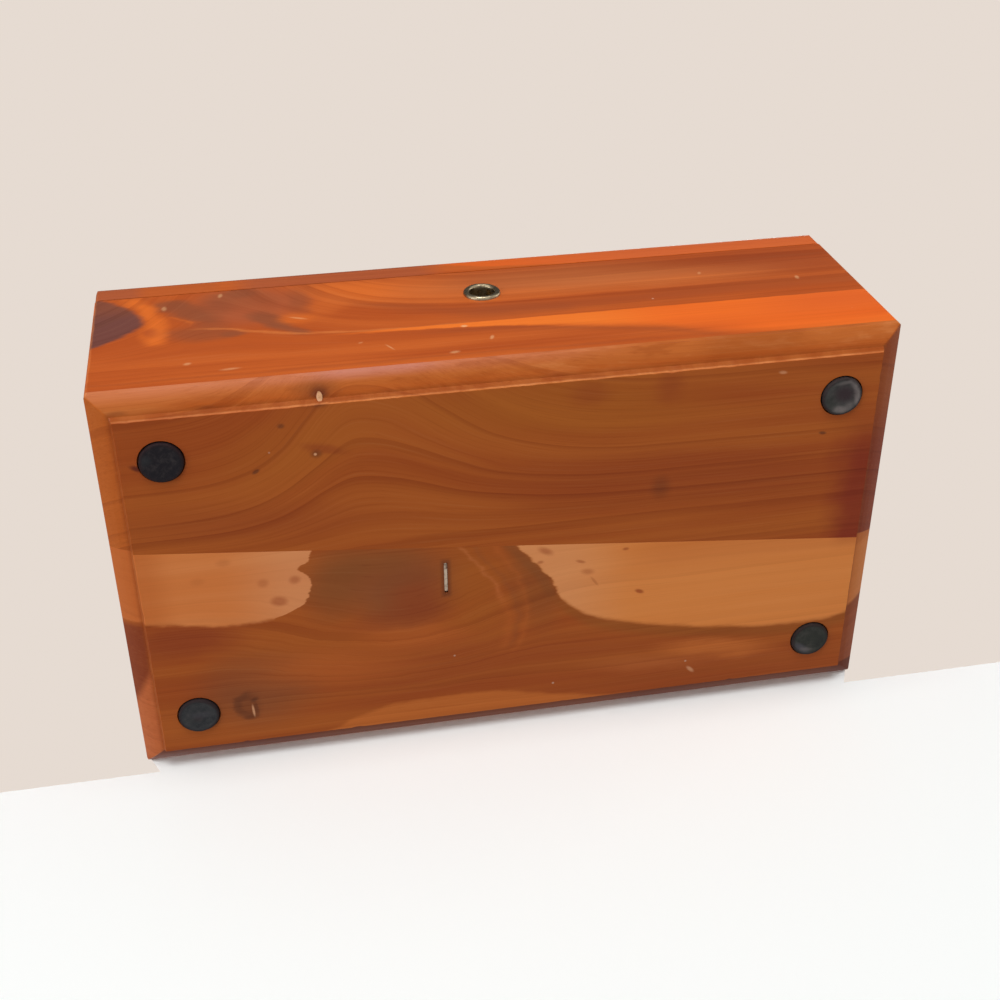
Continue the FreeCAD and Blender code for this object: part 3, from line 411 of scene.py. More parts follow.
@shared("Surface Wear", "Position Amount", "Dust Scratch Dent")
def wear_group(net, position, amount):
    """Pale dust, fine scratches and small dents on a finished surface."""
    spread, chance = net.cells(position, 0.16)
    dust = net.within((spread, 0.085, 0.03), (chance, 1.0 - amount, 1.01 - amount))
    x, y, z = net.split(position)
    lean = net.noise(position, scale=0.02, detail=1.0)
    lines, luck = net.cells(net.join(x * 0.03 + y * 0.2 + lean, y * 0.03 - x * 0.2, z * 0.2), 1.2)
    scratch = net.within((lines, 0.05, 0.015), (luck, 0.9, 0.93))
    return dust, scratch * amount * 4, net.step(net.noise(position, scale=0.22), 0.66, 0.8)


@shared("Lacquer", "Position Ring Streak Raw", "Roughness Height")
def lacquer_group(net, position, ring, streak, raw):
    """How rough an uneven coat of lacquer is, and the height of the wood that shows through it."""
    pools = net.noise(position, scale=0.045, detail=3.0)
    peel = net.noise(position, scale=0.9)
    smooth = 0.3 + pools * 0.16 + streak * 0.08
    height = streak * (0.4 + raw * 0.8) + ring * 0.25 + peel * 0.22 + pools * 0.6
    return smooth + (0.78 - smooth) * raw, height


@shared("Old Metal", "Position Amount", "Film Roughness Height")
def metal_group(net, position, amount):
    """Tarnish, rubbed bright spots and fine scratches of old plated metal."""
    patches = net.noise(position, scale=0.55, detail=5.0, roughness=0.65)
    grit = net.noise(position, scale=6.0, detail=3.0)
    x, y, z = net.split(position)
    brushed = net.noise(net.join(x * 0.6, y * 9, z * 9))
    film = net.step(patches + amount * 0.35, 0.45, 0.8)
    return film, 0.18 + film * 0.34 + grit * 0.12, grit * 0.5 + brushed * 0.5 + film * 0.4


# Finishes.

class Finish(Net):
    """A material on a Principled shader, with the piece's own place in millimetres."""

    def __init__(self, name):
        self.material = bpy.data.materials.new(name)
        self.material.use_nodes = True
        super().__init__(self.material.node_tree)
        self.shader = self.tree.nodes["Principled BSDF"]
        place = self.wire("TexCoord", output="Object")
        self.position = self.wire("Mapping", {"Vector": place, "Scale": (MILLIMETRES,) * 3})
        self.x, self.y, self.z = self.split(self.position)
        self.flip = -self.y

    def set(self, **values):
        """Feed the shader's inputs."""
        for name, value in values.items():
            self.feed(self.shader.inputs[name.replace("_", " ").title().replace("Ior", "IOR")], value)

    def bump(self, height, distance, strength=0.5):
        """Relief, this many millimetres for a height of 1."""
        given = {"Strength": strength, "Distance": distance * MM, "Height": height}
        self.set(normal=self.wire("Bump", given))

    def lay(self, mask, colour):
        self.colour = self.blend(mask, self.colour, colour)

    def tints(self, *rows):
        """Lay rows of a mask, the share of it, a colour, and any limits that it keeps within."""
        for mask, share, colour, *limits in rows:
            self.lay((mask * self.within(*limits) if limits else mask) * share, colour)

    def spot(self, middle, height, long, short, lean=0.0, soft=0.5):
        """A soft oval. The large ones are uneven, and the small ones stay where they are put."""
        smallest_moved = 2.6
        places = self.plain if long < smallest_moved else self.moved
        return self.use(spot_group, *places, middle, height, long, short, math.radians(lean), soft)

    def spots(self, rows):
        """Marks given as middle, height, half length, half width, lean, softness, strength and colour."""
        for *place, share, colour in rows:
            mask, _ = self.spot(*place)
            self.lay(mask * share, colour)


WALL_LOW, WALL_HIGH = (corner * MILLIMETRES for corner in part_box("front_wall"))
BASE_LOW, BASE_HIGH = (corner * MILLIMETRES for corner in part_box("base_board_front"))
LID_LOW, LID_HIGH = (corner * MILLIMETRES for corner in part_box("lid_board_front"))
HALF_LENGTH = WALL_HIGH.x
HALF_DEPTH = -WALL_LOW.y
WALL_THICK = WALL_HIGH.y - WALL_LOW.y
CHEST_HALF = (HALF_LENGTH, HALF_DEPTH, LID_HIGH.z / 2)
COAT = 0.06  # weight of the lacquer's gloss
WEAR = 0.04  # share of the places where dust and scratches show
RUBBED_WIDTH = 0.7
MARK_WANDER = 7.0  # how far noise moves the larger marks, in millimetres


class Board(Finish):
    """The finish of one board. axes names the coordinates along its grain, across it and through it."""

    def __init__(
        self, name, palette, axes, pitch, slope, seed, curl=6.0, hump=(0, 30, 30), start=0.0, gain=0.0,
        swirl=None,
    ):
        super().__init__(name)
        self.palette = palette
        self.seed = seed
        self.along, self.across, depth = (getattr(self, axis) for axis in axes)
        places = (self.along, self.across)
        self.see(*places)
        push = self.use(hump_group, self.along, *hump)
        level = self.use(level_group, *places, depth, slope, push, start, gain, curl, seed)
        if swirl:
            level = level - self.spot(*swirl)[0] * (self.across + 4) * 0.7
        self.figure = self.use(figure_group, self.along, level, depth, pitch, seed)
        self.band = self.figure[-1]
        self.colour = self.blend(self.band, palette.heart, palette.light)
        self.sap = 0.0

    def see(self, along, across):
        """Choose the coordinates that the next marks are drawn on."""
        self.plain = [along, across]
        self.moved = self.use(wander_group, along, across, self.seed, MARK_WANDER)

    def stroke(self, points, wide, soft, share, colour, fade=5.0, upright=False):
        """A soft line through points, which fades at its ends."""
        along, across = self.moved[::-1] if upright else self.moved
        away = abs(across - self.profile(along, points))
        first, last, half = points[0][0], points[-1][0], fade / 2
        ends = (along, first - half, first + half), (along, last + half, last - half)
        self.lay(self.within((away, wide + soft, wide - soft), *ends) * share, colour)

    def ragged(self, distance, ragged=1.0, soft=0.35):
        return self.use(ragged_group, distance, *self.plain, ragged, soft)

    def lay_sap(self, mask):
        """Sapwood where a mask says, with deeper bands in it."""
        self.lay(mask, self.blend(self.band * 0.7, self.palette.sap, self.palette.sap_deep))
        self.sap = self.most(self.sap, mask)

    def knot(self, *place):
        """A knot: dark rings about its heart, and darker wood round it."""
        _, away = self.spot(*place)
        rings = self.math("SINE", away * 11) * 0.5 + 0.5
        self.lay(self.step(away, 3.2, 0.8) * 0.5, self.palette.dark)
        self.lay(self.step(away, 1.15, 0.85) * (0.45 + rings * 0.4), self.palette.knot)

    def inside(self):
        """1 on the unfinished faces inside the closed chest, and on the joint faces at the rim."""
        long, deep = HALF_LENGTH - WALL_THICK, HALF_DEPTH - WALL_THICK
        return self.within(
            (abs(self.x), long + 0.4, long + 0.2), (abs(self.y), deep + 0.4, deep + 0.2),
            (self.z, BASE_HIGH.z - 0.5, BASE_HIGH.z - 0.2), (self.z, LID_LOW.z + 0.4, LID_LOW.z + 0.2),
        )

    def dress(self, grain=0.55, sheen=0.0, lumps=0.0):
        """Grain, edges, gloss and relief over the marks. sheen adds to the coat, lumps to the relief."""
        palette = self.palette
        ring, streak, fleck, _ = self.figure
        edge = self.use(edge_group, self.position, CHEST_HALF, CHEST_HALF[2], RUBBED_WIDTH)
        dust, scratch, dent = self.use(wear_group, self.position, WEAR)
        raw = self.inside()
        self.lay(raw * 0.62, palette.raw)
        strength = (1 - self.sap * 0.55) * grain if isinstance(self.sap, Wire) else grain
        self.colour = self.use(grain_group, self.colour, ring, streak, fleck, strength)
        self.tints(
            (edge, 0.3, palette.rubbed), (dust, 0.45, shade(236, 214, 190)), (scratch, 0.5, palette.rubbed)
        )
        rough, height = self.use(lacquer_group, self.position, ring, streak, raw)
        self.set(
            base_color=self.colour, roughness=rough + edge * 0.2 + scratch * 0.2,
            coat_weight=(1 - raw) * COAT + sheen, coat_roughness=0.3, specular_ior_level=0.1,
        )
        self.bump(height - dent * 0.5 - scratch + lumps, 0.05)
        return self.material


# Tones of single marks on the front, and on the base, which gets less light.
BROWN = shade(146, 78, 48)
UMBER = shade(160, 76, 38)
PINK = shade(168, 88, 56)
RUST_RED = shade(168, 72, 34)
ORANGE = shade(224, 110, 36)
AMBER = shade(212, 106, 42)
HONEY = shade(228, 132, 66)
SPECK = shade(236, 180, 128)
EMBER = shade(160, 72, 34)
MAROON = shade(142, 50, 30)
GOLD = shade(190, 108, 38)
GLOW = shade(210, 110, 48)
ASH = shade(146, 84, 50)
CREAM = shade(250, 186, 140)
ROSE = shade(206, 120, 66)
OLIVE = shade(146, 86, 44)
DEEP_KNOT = shade(92, 42, 26)
PALE_ARC = shade(216, 126, 70)


def front_wall_finish(palette):
    """Dark heart and knots at the left, a widening stripe of sapwood along the lower right."""
    net = Board(
        "Cedar Front Wall", palette, ("x", "z", "y"), pitch=4.4, slope=0.7, seed=3.0, curl=3.5,
        hump=(-82, 30, 46), start=22, gain=0.78,
    )
    x, z = net.x, net.z
    net.stroke([(-20, 62), (8, 62), (50, 61), (96, 58), (122, 56)], 7.0, 5.0, 0.4, UMBER, 30)
    net.stroke([(-8, 38), (20, 38.5), (60, 39.5), (90, 41), (122, 40)], 3.4, 3.4, 0.5, UMBER, 24)
    net.stroke([(-20, 50), (10, 49), (40, 48), (70, 49.5), (96, 47)], 2.4, 2.8, 0.6, AMBER, 14)
    net.stroke([(-54, 69), (-42, 56), (-30, 48), (-14, 42.5), (0, 39), (26, 37)], 2.6, 3.2, 0.5, UMBER, 8)
    net.spots([
        (-27, 60.5, 22, 9, -8, 0.6, 0.85, AMBER),
        (-36, 60, 11, 7.0, -20, 0.7, 0.5, ORANGE),
        (-47, 52, 9, 5.0, 50, 0.7, 0.5, AMBER),
        (98, 57, 26, 11, -4, 0.7, 0.65, shade(164, 74, 34)),
        (22, 58, 34, 8, 0, 0.8, 0.5, ROSE),
        (60, 52, 30, 6, 0, 0.8, 0.35, ROSE),
        # This pink patch is a painted sheen of the lacquer.
        (-71, 57, 16, 14, 0, 0.5, 0.7, PINK),
        (-79, 58, 4.2, 8.0, -6, 0.7, 0.4, BROWN),
        (-66, 60, 3.4, 7.0, 8, 0.8, 0.4, UMBER),
        (-55.5, 57, 3.2, 8.0, 4, 0.7, 0.5, BROWN),
        (-72.5, 66.5, 5.4, 4.0, 0, 0.6, 0.75, BROWN),
        (-85, 39.5, 9, 4.8, -8, 0.6, 0.62, BROWN),
        (-74, 61, 10, 5.5, 0, 0.7, 0.35, BROWN),
        (-87, 54, 11.5, 4.6, -52, 0.6, 0.85, BROWN),
        (-93.5, 60.8, 5.0, 3.6, 10, 0.5, 0.7, BROWN),
        (-65, 45.5, 7.2, 3.6, -50, 0.5, 0.85, BROWN),
        (-61.5, 40, 3.8, 3.0, -20, 0.6, 0.8, BROWN),
        (-75.6, 37.4, 3.6, 1.9, 0, 0.6, 0.75, BROWN),
        (-57.6, 35.8, 3.8, 1.9, -28, 0.6, 0.75, BROWN),
        (-57, 44, 4.4, 3.2, -10, 0.7, 0.55, ORANGE),
    ])
    net.stroke([(-93.5, 53), (-87, 46.5)], 0.7, 1.0, 0.4, ORANGE, 2)
    ridge = [(-85, 42.6), (-78.5, 41.2), (-67.8, 37.2), (-57.3, 34.4), (-42, 32.4), (-27, 31.2), (-6, 30.7)]
    net.stroke(ridge, 0.5, 1.0, 0.6, HONEY, 10)
    flame = [(34, -98), (42, -97.6), (52, -98.4), (60, -101), (68, -105.5)]
    net.stroke(flame, 3.0, 2.6, 0.9, ORANGE, 4, upright=True)
    net.spots([(-99, 42.5, 2.0, 3.0, 0, 0.6, 0.6, RUST_RED), (-96.5, 41.5, 2.4, 3.4, 0, 0.7, 0.5, AMBER)])
    edge = net.profile(z, [
        (30, -126), (36, -114), (42, -106.4), (47, -102.6), (51, -101.4), (56, -102.8), (61, -106),
        (67, -112), (72, -120),
    ])
    heart = net.ragged(edge - x, 1.5, 1.7)
    lower = net.profile(x, [
        (-60, 30.6), (-10, 28.6), (10, 26.2), (30, 22.4), (48, 18), (58, 13.5), (70, 9.5), (120, 5),
    ])
    stripe = net.ragged(31.3 - z, 0.35, 0.3) * net.ragged(z - lower, 0.8, 0.6 + net.step(x, -5, 40) * 2.6)
    stripe = stripe * net.step(x, -56, -12)
    shadow = net.within((abs(z - lower + 1.8), 3.4, 0.2), (x, -30, -8), (x, 74, 50))
    net.tints((heart, 0.95, palette.dark), (heart, 0.55, BROWN, (z, 52, 64)), (shadow, 0.4, UMBER))
    net.lay_sap(stripe)
    net.tints(
        (stripe, 0.45, RUST_RED, (z, 22, 12), (x, 80, 50)),
        (stripe, 0.6, shade(240, 128, 44), (x, 56, 24)),
        (stripe, 0.5, shade(216, 92, 38), (x, 66, 104), (z, 14, 24)),
    )
    net.stroke([(-122, 11), (-40, 11), (40, 10.4)], 0.5, 0.9, 0.35, UMBER, 16)
    net.spots([(*place, 0.6, share, SPECK) for *place, share in (
        (-78.5, 65.5, 1.4, 0.6, 80, 0.4), (-95.2, 59.1, 1.4, 0.7, 90, 0.42), (-88.6, 20, 1.0, 0.7, 20, 0.4),
        (-77, 14.5, 2.4, 0.6, 4, 0.36), (-56.3, 44.5, 2.4, 0.5, -24, 0.36),
        (-32.1, 19.5, 1.9, 0.3, -62, 0.38), (-14.6, 12.7, 1.3, 0.7, 10, 0.45),
        (-9.2, 29.2, 0.9, 0.6, 0, 0.8), (-2.6, 20.2, 1.2, 0.5, 70, 0.5), (98.4, 44, 1.2, 0.6, 80, 0.5),
        (69.6, 53.2, 0.9, 0.5, 70, 0.35), (-40, 24, 0.7, 0.4, 30, 0.3),
    )])
    return net.dress(0.46)


def base_edges(net):
    """The board's rim: the small step at its foot is painted in the darker tone of the bevel, a painted
    shade against the light that the step catches, and it ends in a thin pale torn line that is partly a
    painted highlight.
    """
    low = BASE_LOW.z
    x, y, z = net.x, net.y, net.z
    patchy = net.noise(net.join(x * 0.16, y * 0.16, 2.0), detail=5.0, roughness=0.6)
    front = net.step(y, 6.9 - HALF_DEPTH, 6.5 - HALF_DEPTH)
    side = net.step(abs(x), HALF_LENGTH - 7.0, HALF_LENGTH - 6.6)
    # Painted shade: the step catches more light than the bevel, so it is painted darker and mottled, most
    # along the front and less along the ends.
    facet = net.within((z, low + 0.3, low + 0.6), (z, low + 2.6, low + 2.1))
    mottled = net.blend(net.step(patchy, 0.35, 0.66), shade(158, 76, 26), shade(172, 92, 38))
    net.lay(facet * net.most(front * 0.92, side * 0.7), mottled)
    # A thin pale line at the very foot: torn wood, and partly a painted highlight of the arris.
    foot = net.within((z, low + 0.04, low + 0.2), (z, low + 0.95, low + 0.5))
    rubbed = net.step(patchy, 0.3, 0.7) * 0.5 + 0.2
    net.lay(foot * net.most(front, side * 0.15) * rubbed, net.palette.rubbed)


def bevels(net):
    """The sloped rim under the base, and its parts at the left and at the right."""
    rim = net.step(net.z, BASE_LOW.z + 1.9, BASE_LOW.z + 2.3)
    inner, outer = HALF_LENGTH - 8.5, HALF_LENGTH - 6.0
    return rim, rim * net.step(net.x, -inner, -outer), rim * net.step(net.x, inner, outer)


def base_front_finish(palette):
    """The front board of the base: grain swept up into a hump at the left, a red stain at the right end."""
    net = Board(
        "Cedar Base Front", palette, ("x", "flip", "z"), pitch=4.0, slope=0.9, seed=11.0, curl=3.0,
        hump=(-44, 26, 44), start=8, gain=0.56,
    )
    x, y, z = net.x, net.y, net.z
    low = BASE_LOW.z
    net.see(x, y)
    net.spots([
        (14, -50, 38, 9, 6, 0.6, 0.6, GOLD),
        (-62, -45, 20, 9, -16, 0.7, 0.3, GOLD),
        (-80, -22, 34, 6, 3, 0.7, 0.4, EMBER),
        (50, -22, 50, 9, 4, 0.7, 0.45, EMBER),
        (22, -53, 5.2, 3.4, 0, 0.8, 0.45, EMBER),
        (45.5, -53, 3.6, 4.6, -20, 0.8, 0.5, EMBER),
        (44.3, -19.5, 2.5, 3.2, 0, 0.8, 0.4, palette.knot),
        (-54, -43.5, 5.5, 1.3, 14, 0.7, 0.4, MAROON),
    ])
    blots = net.noise(net.join(x * 0.06, y * 0.07, 4.0), detail=3.0)
    net.lay(net.within((x + (blots - 0.5) * 16, 95, 107), (y, -42, -22)) * 0.85, MAROON)
    net.spots([
        (-73, -38.5, 1.1, 0.55, -30, 0.5, 0.75, palette.knot),
        (-65, -52, 0.9, 0.7, 0, 0.6, 0.6, palette.knot),
        (93.5, -32.5, 1.1, 0.5, 10, 0.5, 0.75, palette.knot),
        (-56, -42.3, 1.4, 1.1, 0, 0.7, 0.6, palette.knot),
        (-56.3, -42.2, 0.4, 0.4, 0, 0.5, 0.8, CREAM),
        (79, -54, 1.1, 0.5, 10, 0.6, 0.45, CREAM),
        (-104.6, -43.0, 1.9, 0.8, 24, 0.6, 0.85, shade(92, 34, 26)),
    ])
    corner = HALF_LENGTH - HALF_DEPTH
    left_face = net.step(x - y + corner, 0.4, -0.4)
    right_face = net.step(corner - x - y, 0.4, -0.4)
    rim, left, right = bevels(net)
    front = rim * net.step(y, 8.0 - HALF_DEPTH, 5.5 - HALF_DEPTH) * (1 - left_face) * (1 - right_face)
    patchy = net.noise(net.join(x * 0.055, y * 0.16, z * 0.3 + 5), detail=4.0, roughness=0.6)
    # Painted sheen: the lamp's reflection painted pale pink on the upper half of the front bevel, where the
    # coat is raised as well.
    painted_sheen = net.within((z, low + 3.2, low + 5.6), (x, 48, -24)) * (net.step(patchy, 0.3, 0.62) * 0.5 + 0.5)
    net.tints(
        (front, 0.8, shade(196, 106, 46)),
        (front, 0.5, shade(168, 80, 28), (patchy, 0.48, 0.34)),
        (front, 0.55, shade(214, 130, 72), (patchy, 0.52, 0.68), (x, -60, 10)),
        (front, 0.5, shade(164, 80, 28), (x, 50, 62), (x, 92, 80)),
        (front, 0.5, shade(190, 90, 28), (z, low + 3.6, low + 2.4), (x, -104, -92)),
        # Painted sheen, in this row and the next: pale and lavender pink on the upper half of the front
        # bevel.
        (front * painted_sheen, 0.62, shade(222, 138, 108)),
        (front, 0.55, shade(206, 132, 116), (abs(x + 38), 22, 8), (z, low + 3.6, low + 5.4)),
        (front, 0.5, shade(212, 122, 70), (x, -50, -100), (z, low + 2.4, low + 4.0)),
        (front, 0.5, shade(202, 118, 60), (x, -84, -104), (z, low + 3.4, low + 2.4)),
        # Painted light and shade: the left end of the rim is painted lighter and the right end darker, as
        # light from the left leaves them.
        (left * left_face, 0.75, shade(204, 106, 40)),
        (right * right_face, 0.5, shade(146, 70, 38)),
    )
    net.spots([
        (-54.5, -60.2, 5.0, 3.0, 0, 0.7, 0.4, palette.knot),
        (-53.8, -59.2, 2.2, 2.0, 0, 0.7, 0.75, DEEP_KNOT),
        (-84, -58.6, 3.0, 0.8, 0, 0.7, 0.4, palette.knot),
        (-108, -58.8, 2.5, 0.8, 0, 0.7, 0.4, palette.knot),
    ])
    base_edges(net)
    return net.dress(0.5, front * painted_sheen * 0.4, front * (patchy - 0.5) * 5)


def base_rear_finish(palette):
    """The rear board of the base: two patches of sapwood, a dark swirl between them and a knot."""
    net = Board(
        "Cedar Base Rear", palette, ("x", "y", "z"), pitch=4.6, slope=0.9, seed=23.0, curl=4.0,
        swirl=(-36, 8, 34, 22, 0, 0.9),
    )
    x, y = net.x, net.y
    net.spots([
        (-33, 24, 15, 5.0, 8, 0.7, 0.7, GLOW),
        (-100, 16.5, 16, 6.0, 0, 0.7, 0.6, MAROON),
        (-30, 38, 60, 10, 0, 0.7, 0.35, EMBER),
        (-42, 2, 23, 12, 6, 0.6, 0.6, palette.dark),
        (-53, 2, 7, 11, 20, 0.7, 0.6, OLIVE),
        (-34, 8, 13, 11, 0, 0.6, 0.6, ASH),
        (-41, -4, 12, 4, -6, 0.7, 0.45, OLIVE),
        (-29, 11, 8, 7.5, 0, 0.7, 0.6, EMBER),
        (-36, 16.5, 14, 3.4, -12, 0.7, 0.45, UMBER),
        (-80, 38, 15, 12, 0, 0.7, 0.7, ASH),
        (-58, 33, 22, 6, 4, 0.8, 0.5, GLOW),
        (-12, 8, 9, 17, -12, 0.7, 0.35, GOLD),
        (6, 10, 6, 15, -14, 0.7, 0.45, OLIVE),
        (60, 52, 50, 6, 0, 0.7, 0.3, EMBER),
    ])
    for arc, *looks in (
        ([(-8, -18), (-5, -15.9), (-2, -13), (3, -9), (8, -5.9), (14, -3.5)], 0.45, 1.2, 0.55, PALE_ARC, 6),
        ([(8, -5.9), (14, -3.5), (19, -1.6), (27, -2), (34, -4.4)], 0.8, 2.2, 0.35, GLOW, 8),
        ([(-9, -9), (-2, -4), (5, 0), (12, 2.5), (20, 4), (28, 3), (35, -0.5)], 0.5, 1.5, 0.38, GLOW, 6),
        ([(-8, -13), (0, -8), (8, -2.6), (16, 0.6), (24, 1.2), (32, -1)], 0.5, 1.4, 0.3, ASH, 6),
    ):
        net.stroke(arc, *looks, upright=True)
    left_low = net.profile(x, [
        (-118, 8.2), (-108, 9.4), (-96, 11.2), (-84, 12.6), (-72, 12.2), (-64, 10.4), (-58, 6),
    ])
    left_side = net.profile(y, [
        (-14, -58.6), (-10, -60), (-6.6, -61.2), (-5, -63.8), (-2.4, -62), (0, -60.8), (4, -61.4),
        (7, -62.6), (9.5, -66), (12, -72),
    ])
    left = net.ragged(left_low - y, 0.9, 0.9) * net.ragged(left_side - x, 1.3, 0.35)
    right_low = net.profile(x, [
        (2, 0), (8, 6), (12, 13), (18, 20), (25, 24.8), (36, 28.6), (52, 32.4), (72, 35.6), (92, 37.2),
        (106, 36), (118, 30),
    ])
    right_side = net.profile(y, [(-8, -2), (-3.7, 1.5), (0, 4.5), (5, 8.5), (9, 11.5), (16, 14), (26, 15)])
    right = net.ragged(right_low - y, 0.7, 1.1) * net.ragged(x - right_side, 1.3, 0.7)
    net.lay(net.within((abs(right_low + 1.8 - y), 4.4, 0.2), (x, 8, 18)) * 0.5, shade(158, 92, 38))
    net.lay(net.within((abs(x - right_side + 2.4), 3.4, 0.4), (y, 20, 12)) * 0.45, OLIVE)
    net.lay_sap(net.most(left, right))
    sliver = net.profile(x, [
        (-70, 61), (-58, 57), (-46, 52), (-34, 49.8), (-8, 49.8), (6, 52.6), (22, 55.8), (44, 58.5),
    ])
    net.tints(
        # Painted highlight: a pale sheen on the left sapwood, near its right edge.
        (left, 0.3, CREAM, (x, -88, -64)),
        (left, 0.5, GLOW, (x, -98, -108)),
        (right, 0.5, shade(250, 156, 76)),
        # Painted highlight: a pale sheen on the left part of the right sapwood.
        (right, 0.3, CREAM, (x, 40, 14)),
        (right, 0.35, GLOW, (abs(y - 4), 9, 2), (x, 24, 50)),
        (net.ragged(y - sliver, 0.8, 1.0), 0.7, shade(222, 124, 56), (x, -72, -60), (x, 44, 30)),
    )
    net.spots([
        (66, 43.5, 17, 3.4, 8, 0.6, 0.75, shade(222, 124, 58)),
        (44, 46, 16, 3.0, 4, 0.8, 0.5, shade(206, 114, 58)),
    ])
    net.spots([(*place, RUST_RED) for place in (
        (-74.5, -1, 1.5, 1.3, 0, 0.6, 0.3), (-65.3, -1, 1.5, 1.3, 0, 0.6, 0.45),
        (-70.4, 6, 2.3, 1.6, 10, 0.5, 0.5), (-85, -9.5, 1.8, 1.2, 0, 0.7, 0.2),
        (-93, -4, 1.8, 1.2, 0, 0.7, 0.15), (9.6, -1.2, 2.2, 1.0, 30, 0.7, 0.5),
        (8, 2.6, 0.9, 0.5, 0, 0.6, 0.5), (20.5, 4, 1.4, 0.5, 20, 0.6, 0.5),
        (22.8, 8, 1.8, 0.9, 10, 0.7, 0.4), (25, 11.8, 1.8, 0.4, 56, 0.6, 0.35),
        (39.5, 17.6, 1.4, 0.7, 24, 0.5, 0.75), (34.5, 1.2, 0.9, 0.5, 0, 0.6, 0.6),
    )])
    _, away = net.spot(-82.4, 43, 3.4, 4.2, 14)
    net.lay(net.step(away, 1.5, 0.4) * 0.35, palette.knot)
    net.lay(net.within((abs(away - 0.95), 0.6, 0.1), (x - y * 0.2, -88.2, -92)) * 0.55, palette.knot)
    net.spots([
        (-81, 41.4, 1.2, 0.7, -30, 0.7, 0.7, palette.knot),
        (-82.6, 48, 2.2, 0.7, 0, 0.7, 0.45, palette.knot),
        (-81.6, 45.6, 2.1, 0.35, 86, 0.5, 0.7, CREAM), (58, 51, 1.5, 0.6, 46, 0.6, 0.55, CREAM),
        (-80.6, 45, 2.4, 0.6, 84, 0.6, 0.5, palette.knot),
    ])
    net.lay(net.within((x, 99, 106), (y, 12, 2)) * 0.4, MAROON)
    _, left_bevel, right_bevel = bevels(net)
    # Painted shade: the rear bevel is painted dark maroon as the contact shade along the rear edge, and its
    # coat is taken off there.
    painted_rear_shade = net.within(
        (y, HALF_DEPTH - 6.6, HALF_DEPTH - 5.6), (x + y + (HALF_LENGTH - HALF_DEPTH), -0.2, 0.4)
    )
    # Painted shade in the shallow groove round the staple.
    groove_shade = net.within((abs(x + 20.8), 2.2, 0.6), (abs(y - 4.5), 7.6, 5.6))
    net.tints(
        (left_bevel, 0.8, shade(140, 62, 32), (y, 9, 12)),
        (left_bevel, 0.85, shade(214, 116, 64), (y + (x + HALF_LENGTH) * 2, 36, 42)),
        (left_bevel * left, 0.75, shade(206, 108, 48)),
        # Painted shade: the right end of the rim is painted darker, as light from the left leaves it, less
        # so on the sapwood.
        (right_bevel, 0.7 - right * 0.4, shade(150, 70, 34)),
        (painted_rear_shade, 0.8, shade(96, 38, 24)),
        (groove_shade, 0.6, palette.knot),
    )
    base_edges(net)
    return net.dress(0.5, painted_rear_shade * -0.06)


def lid_front_finish(palette):
    """The front lid board: heartwood with a sapwood corner that runs out along the front at the right."""
    net = Board(
        "Cedar Lid Front", palette, ("x", "y", "z"), pitch=4.8, slope=1.1, seed=31.0, hump=(28, 34, 26),
        start=-40, gain=0.6,
    )
    x, y, z = net.x, net.y, net.z
    net.knot(28, -22, 6.0, 5.0)
    net.knot(-61, -37, 3.0, 2.6)
    front = net.step(y, -44, -58)
    net.tints(
        (front, 0.7, PINK, (x, -98, -106)),
        (front, 0.7, shade(188, 92, 40), (abs(x + 90), 14, 8)),
        (front, 0.65, shade(164, 84, 54), (abs(x + 42), 36, 24)),
    )
    edge = net.profile(x, [(-40, 92), (-14, 79), (0, 73.5), (20, 70.4), (60, 69), (118, 67)])
    pale = net.ragged(z - edge - (y + HALF_DEPTH) * 0.9, 0.9, 0.9)
    net.lay_sap(pale * 0.8)
    net.lay(pale * front * net.step(x, -4, 60) * 0.6, shade(200, 100, 56))
    return net.dress()


def lid_sap(net):
    """Sapwood along the rear of the lid's rear board, at the right."""
    line = net.profile(net.along, [(-118, 70), (-60, 62), (-10, 48), (40, 37), (118, 33)])
    return net.ragged(net.across - line)


def rear_sap(net):
    """A low band of sapwood on the rear wall."""
    line = net.profile(net.along, [(-118, 24), (-60, 27), (0, 18), (60, 12), (118, 4)])
    return net.ragged(line - net.across, 0.8)


def end_sap(net):
    """A stripe of sapwood along the top of an end."""
    line = net.profile(net.along, [(-66, 60), (-20, 56), (20, 50), (66, 54)])
    return net.ragged(net.across - line, 0.7) * net.ragged(line + 9 - net.across, 0.7)


# Boards that the photograph doesn't show: the grain's axes, its pitch, slope and seed, the knots, of which
# the first one pushes the grain aside, and the sapwood.
PLAIN_BOARDS = {
    "rear_wall": (
        "Cedar Rear Wall", ("x", "z", "y"), 4.4, 0.8, 41.0, [(46, 40, 6.4, 5.0), (-66, 52, 3.0, 2.6)],
        rear_sap,
    ),
    "left_end": ("Cedar Left End", ("y", "z", "x"), 3.8, 0.6, 53.0, [(-18, 34, 3.6, 2.8)], end_sap),
    "right_end": (
        "Cedar Right End", ("y", "z", "x"), 4.2, 0.7, 67.0, [(24, 46, 5.4, 4.2), (-34, 22, 1.8, 1.6)], None
    ),
    "lid_board_rear": (
        "Cedar Lid Rear", ("x", "y", "z"), 5.2, 1.0, 83.0, [(-52, 30, 5.0, 4.0), (70, 22, 2.0, 1.7)],
        lid_sap,
    ),
}


def plain_board_finish(node, palette):
    name, axes, pitch, slope, seed, knots, sap = PLAIN_BOARDS[node]
    middle, height = knots[0][:2]
    net = Board(name, palette, axes, pitch, slope, seed, hump=(middle, 24, 34), start=height - 22, gain=0.5)
    if sap:
        net.lay_sap(sap(net))
    for knot in knots:
        net.knot(*knot)
    return net.dress()


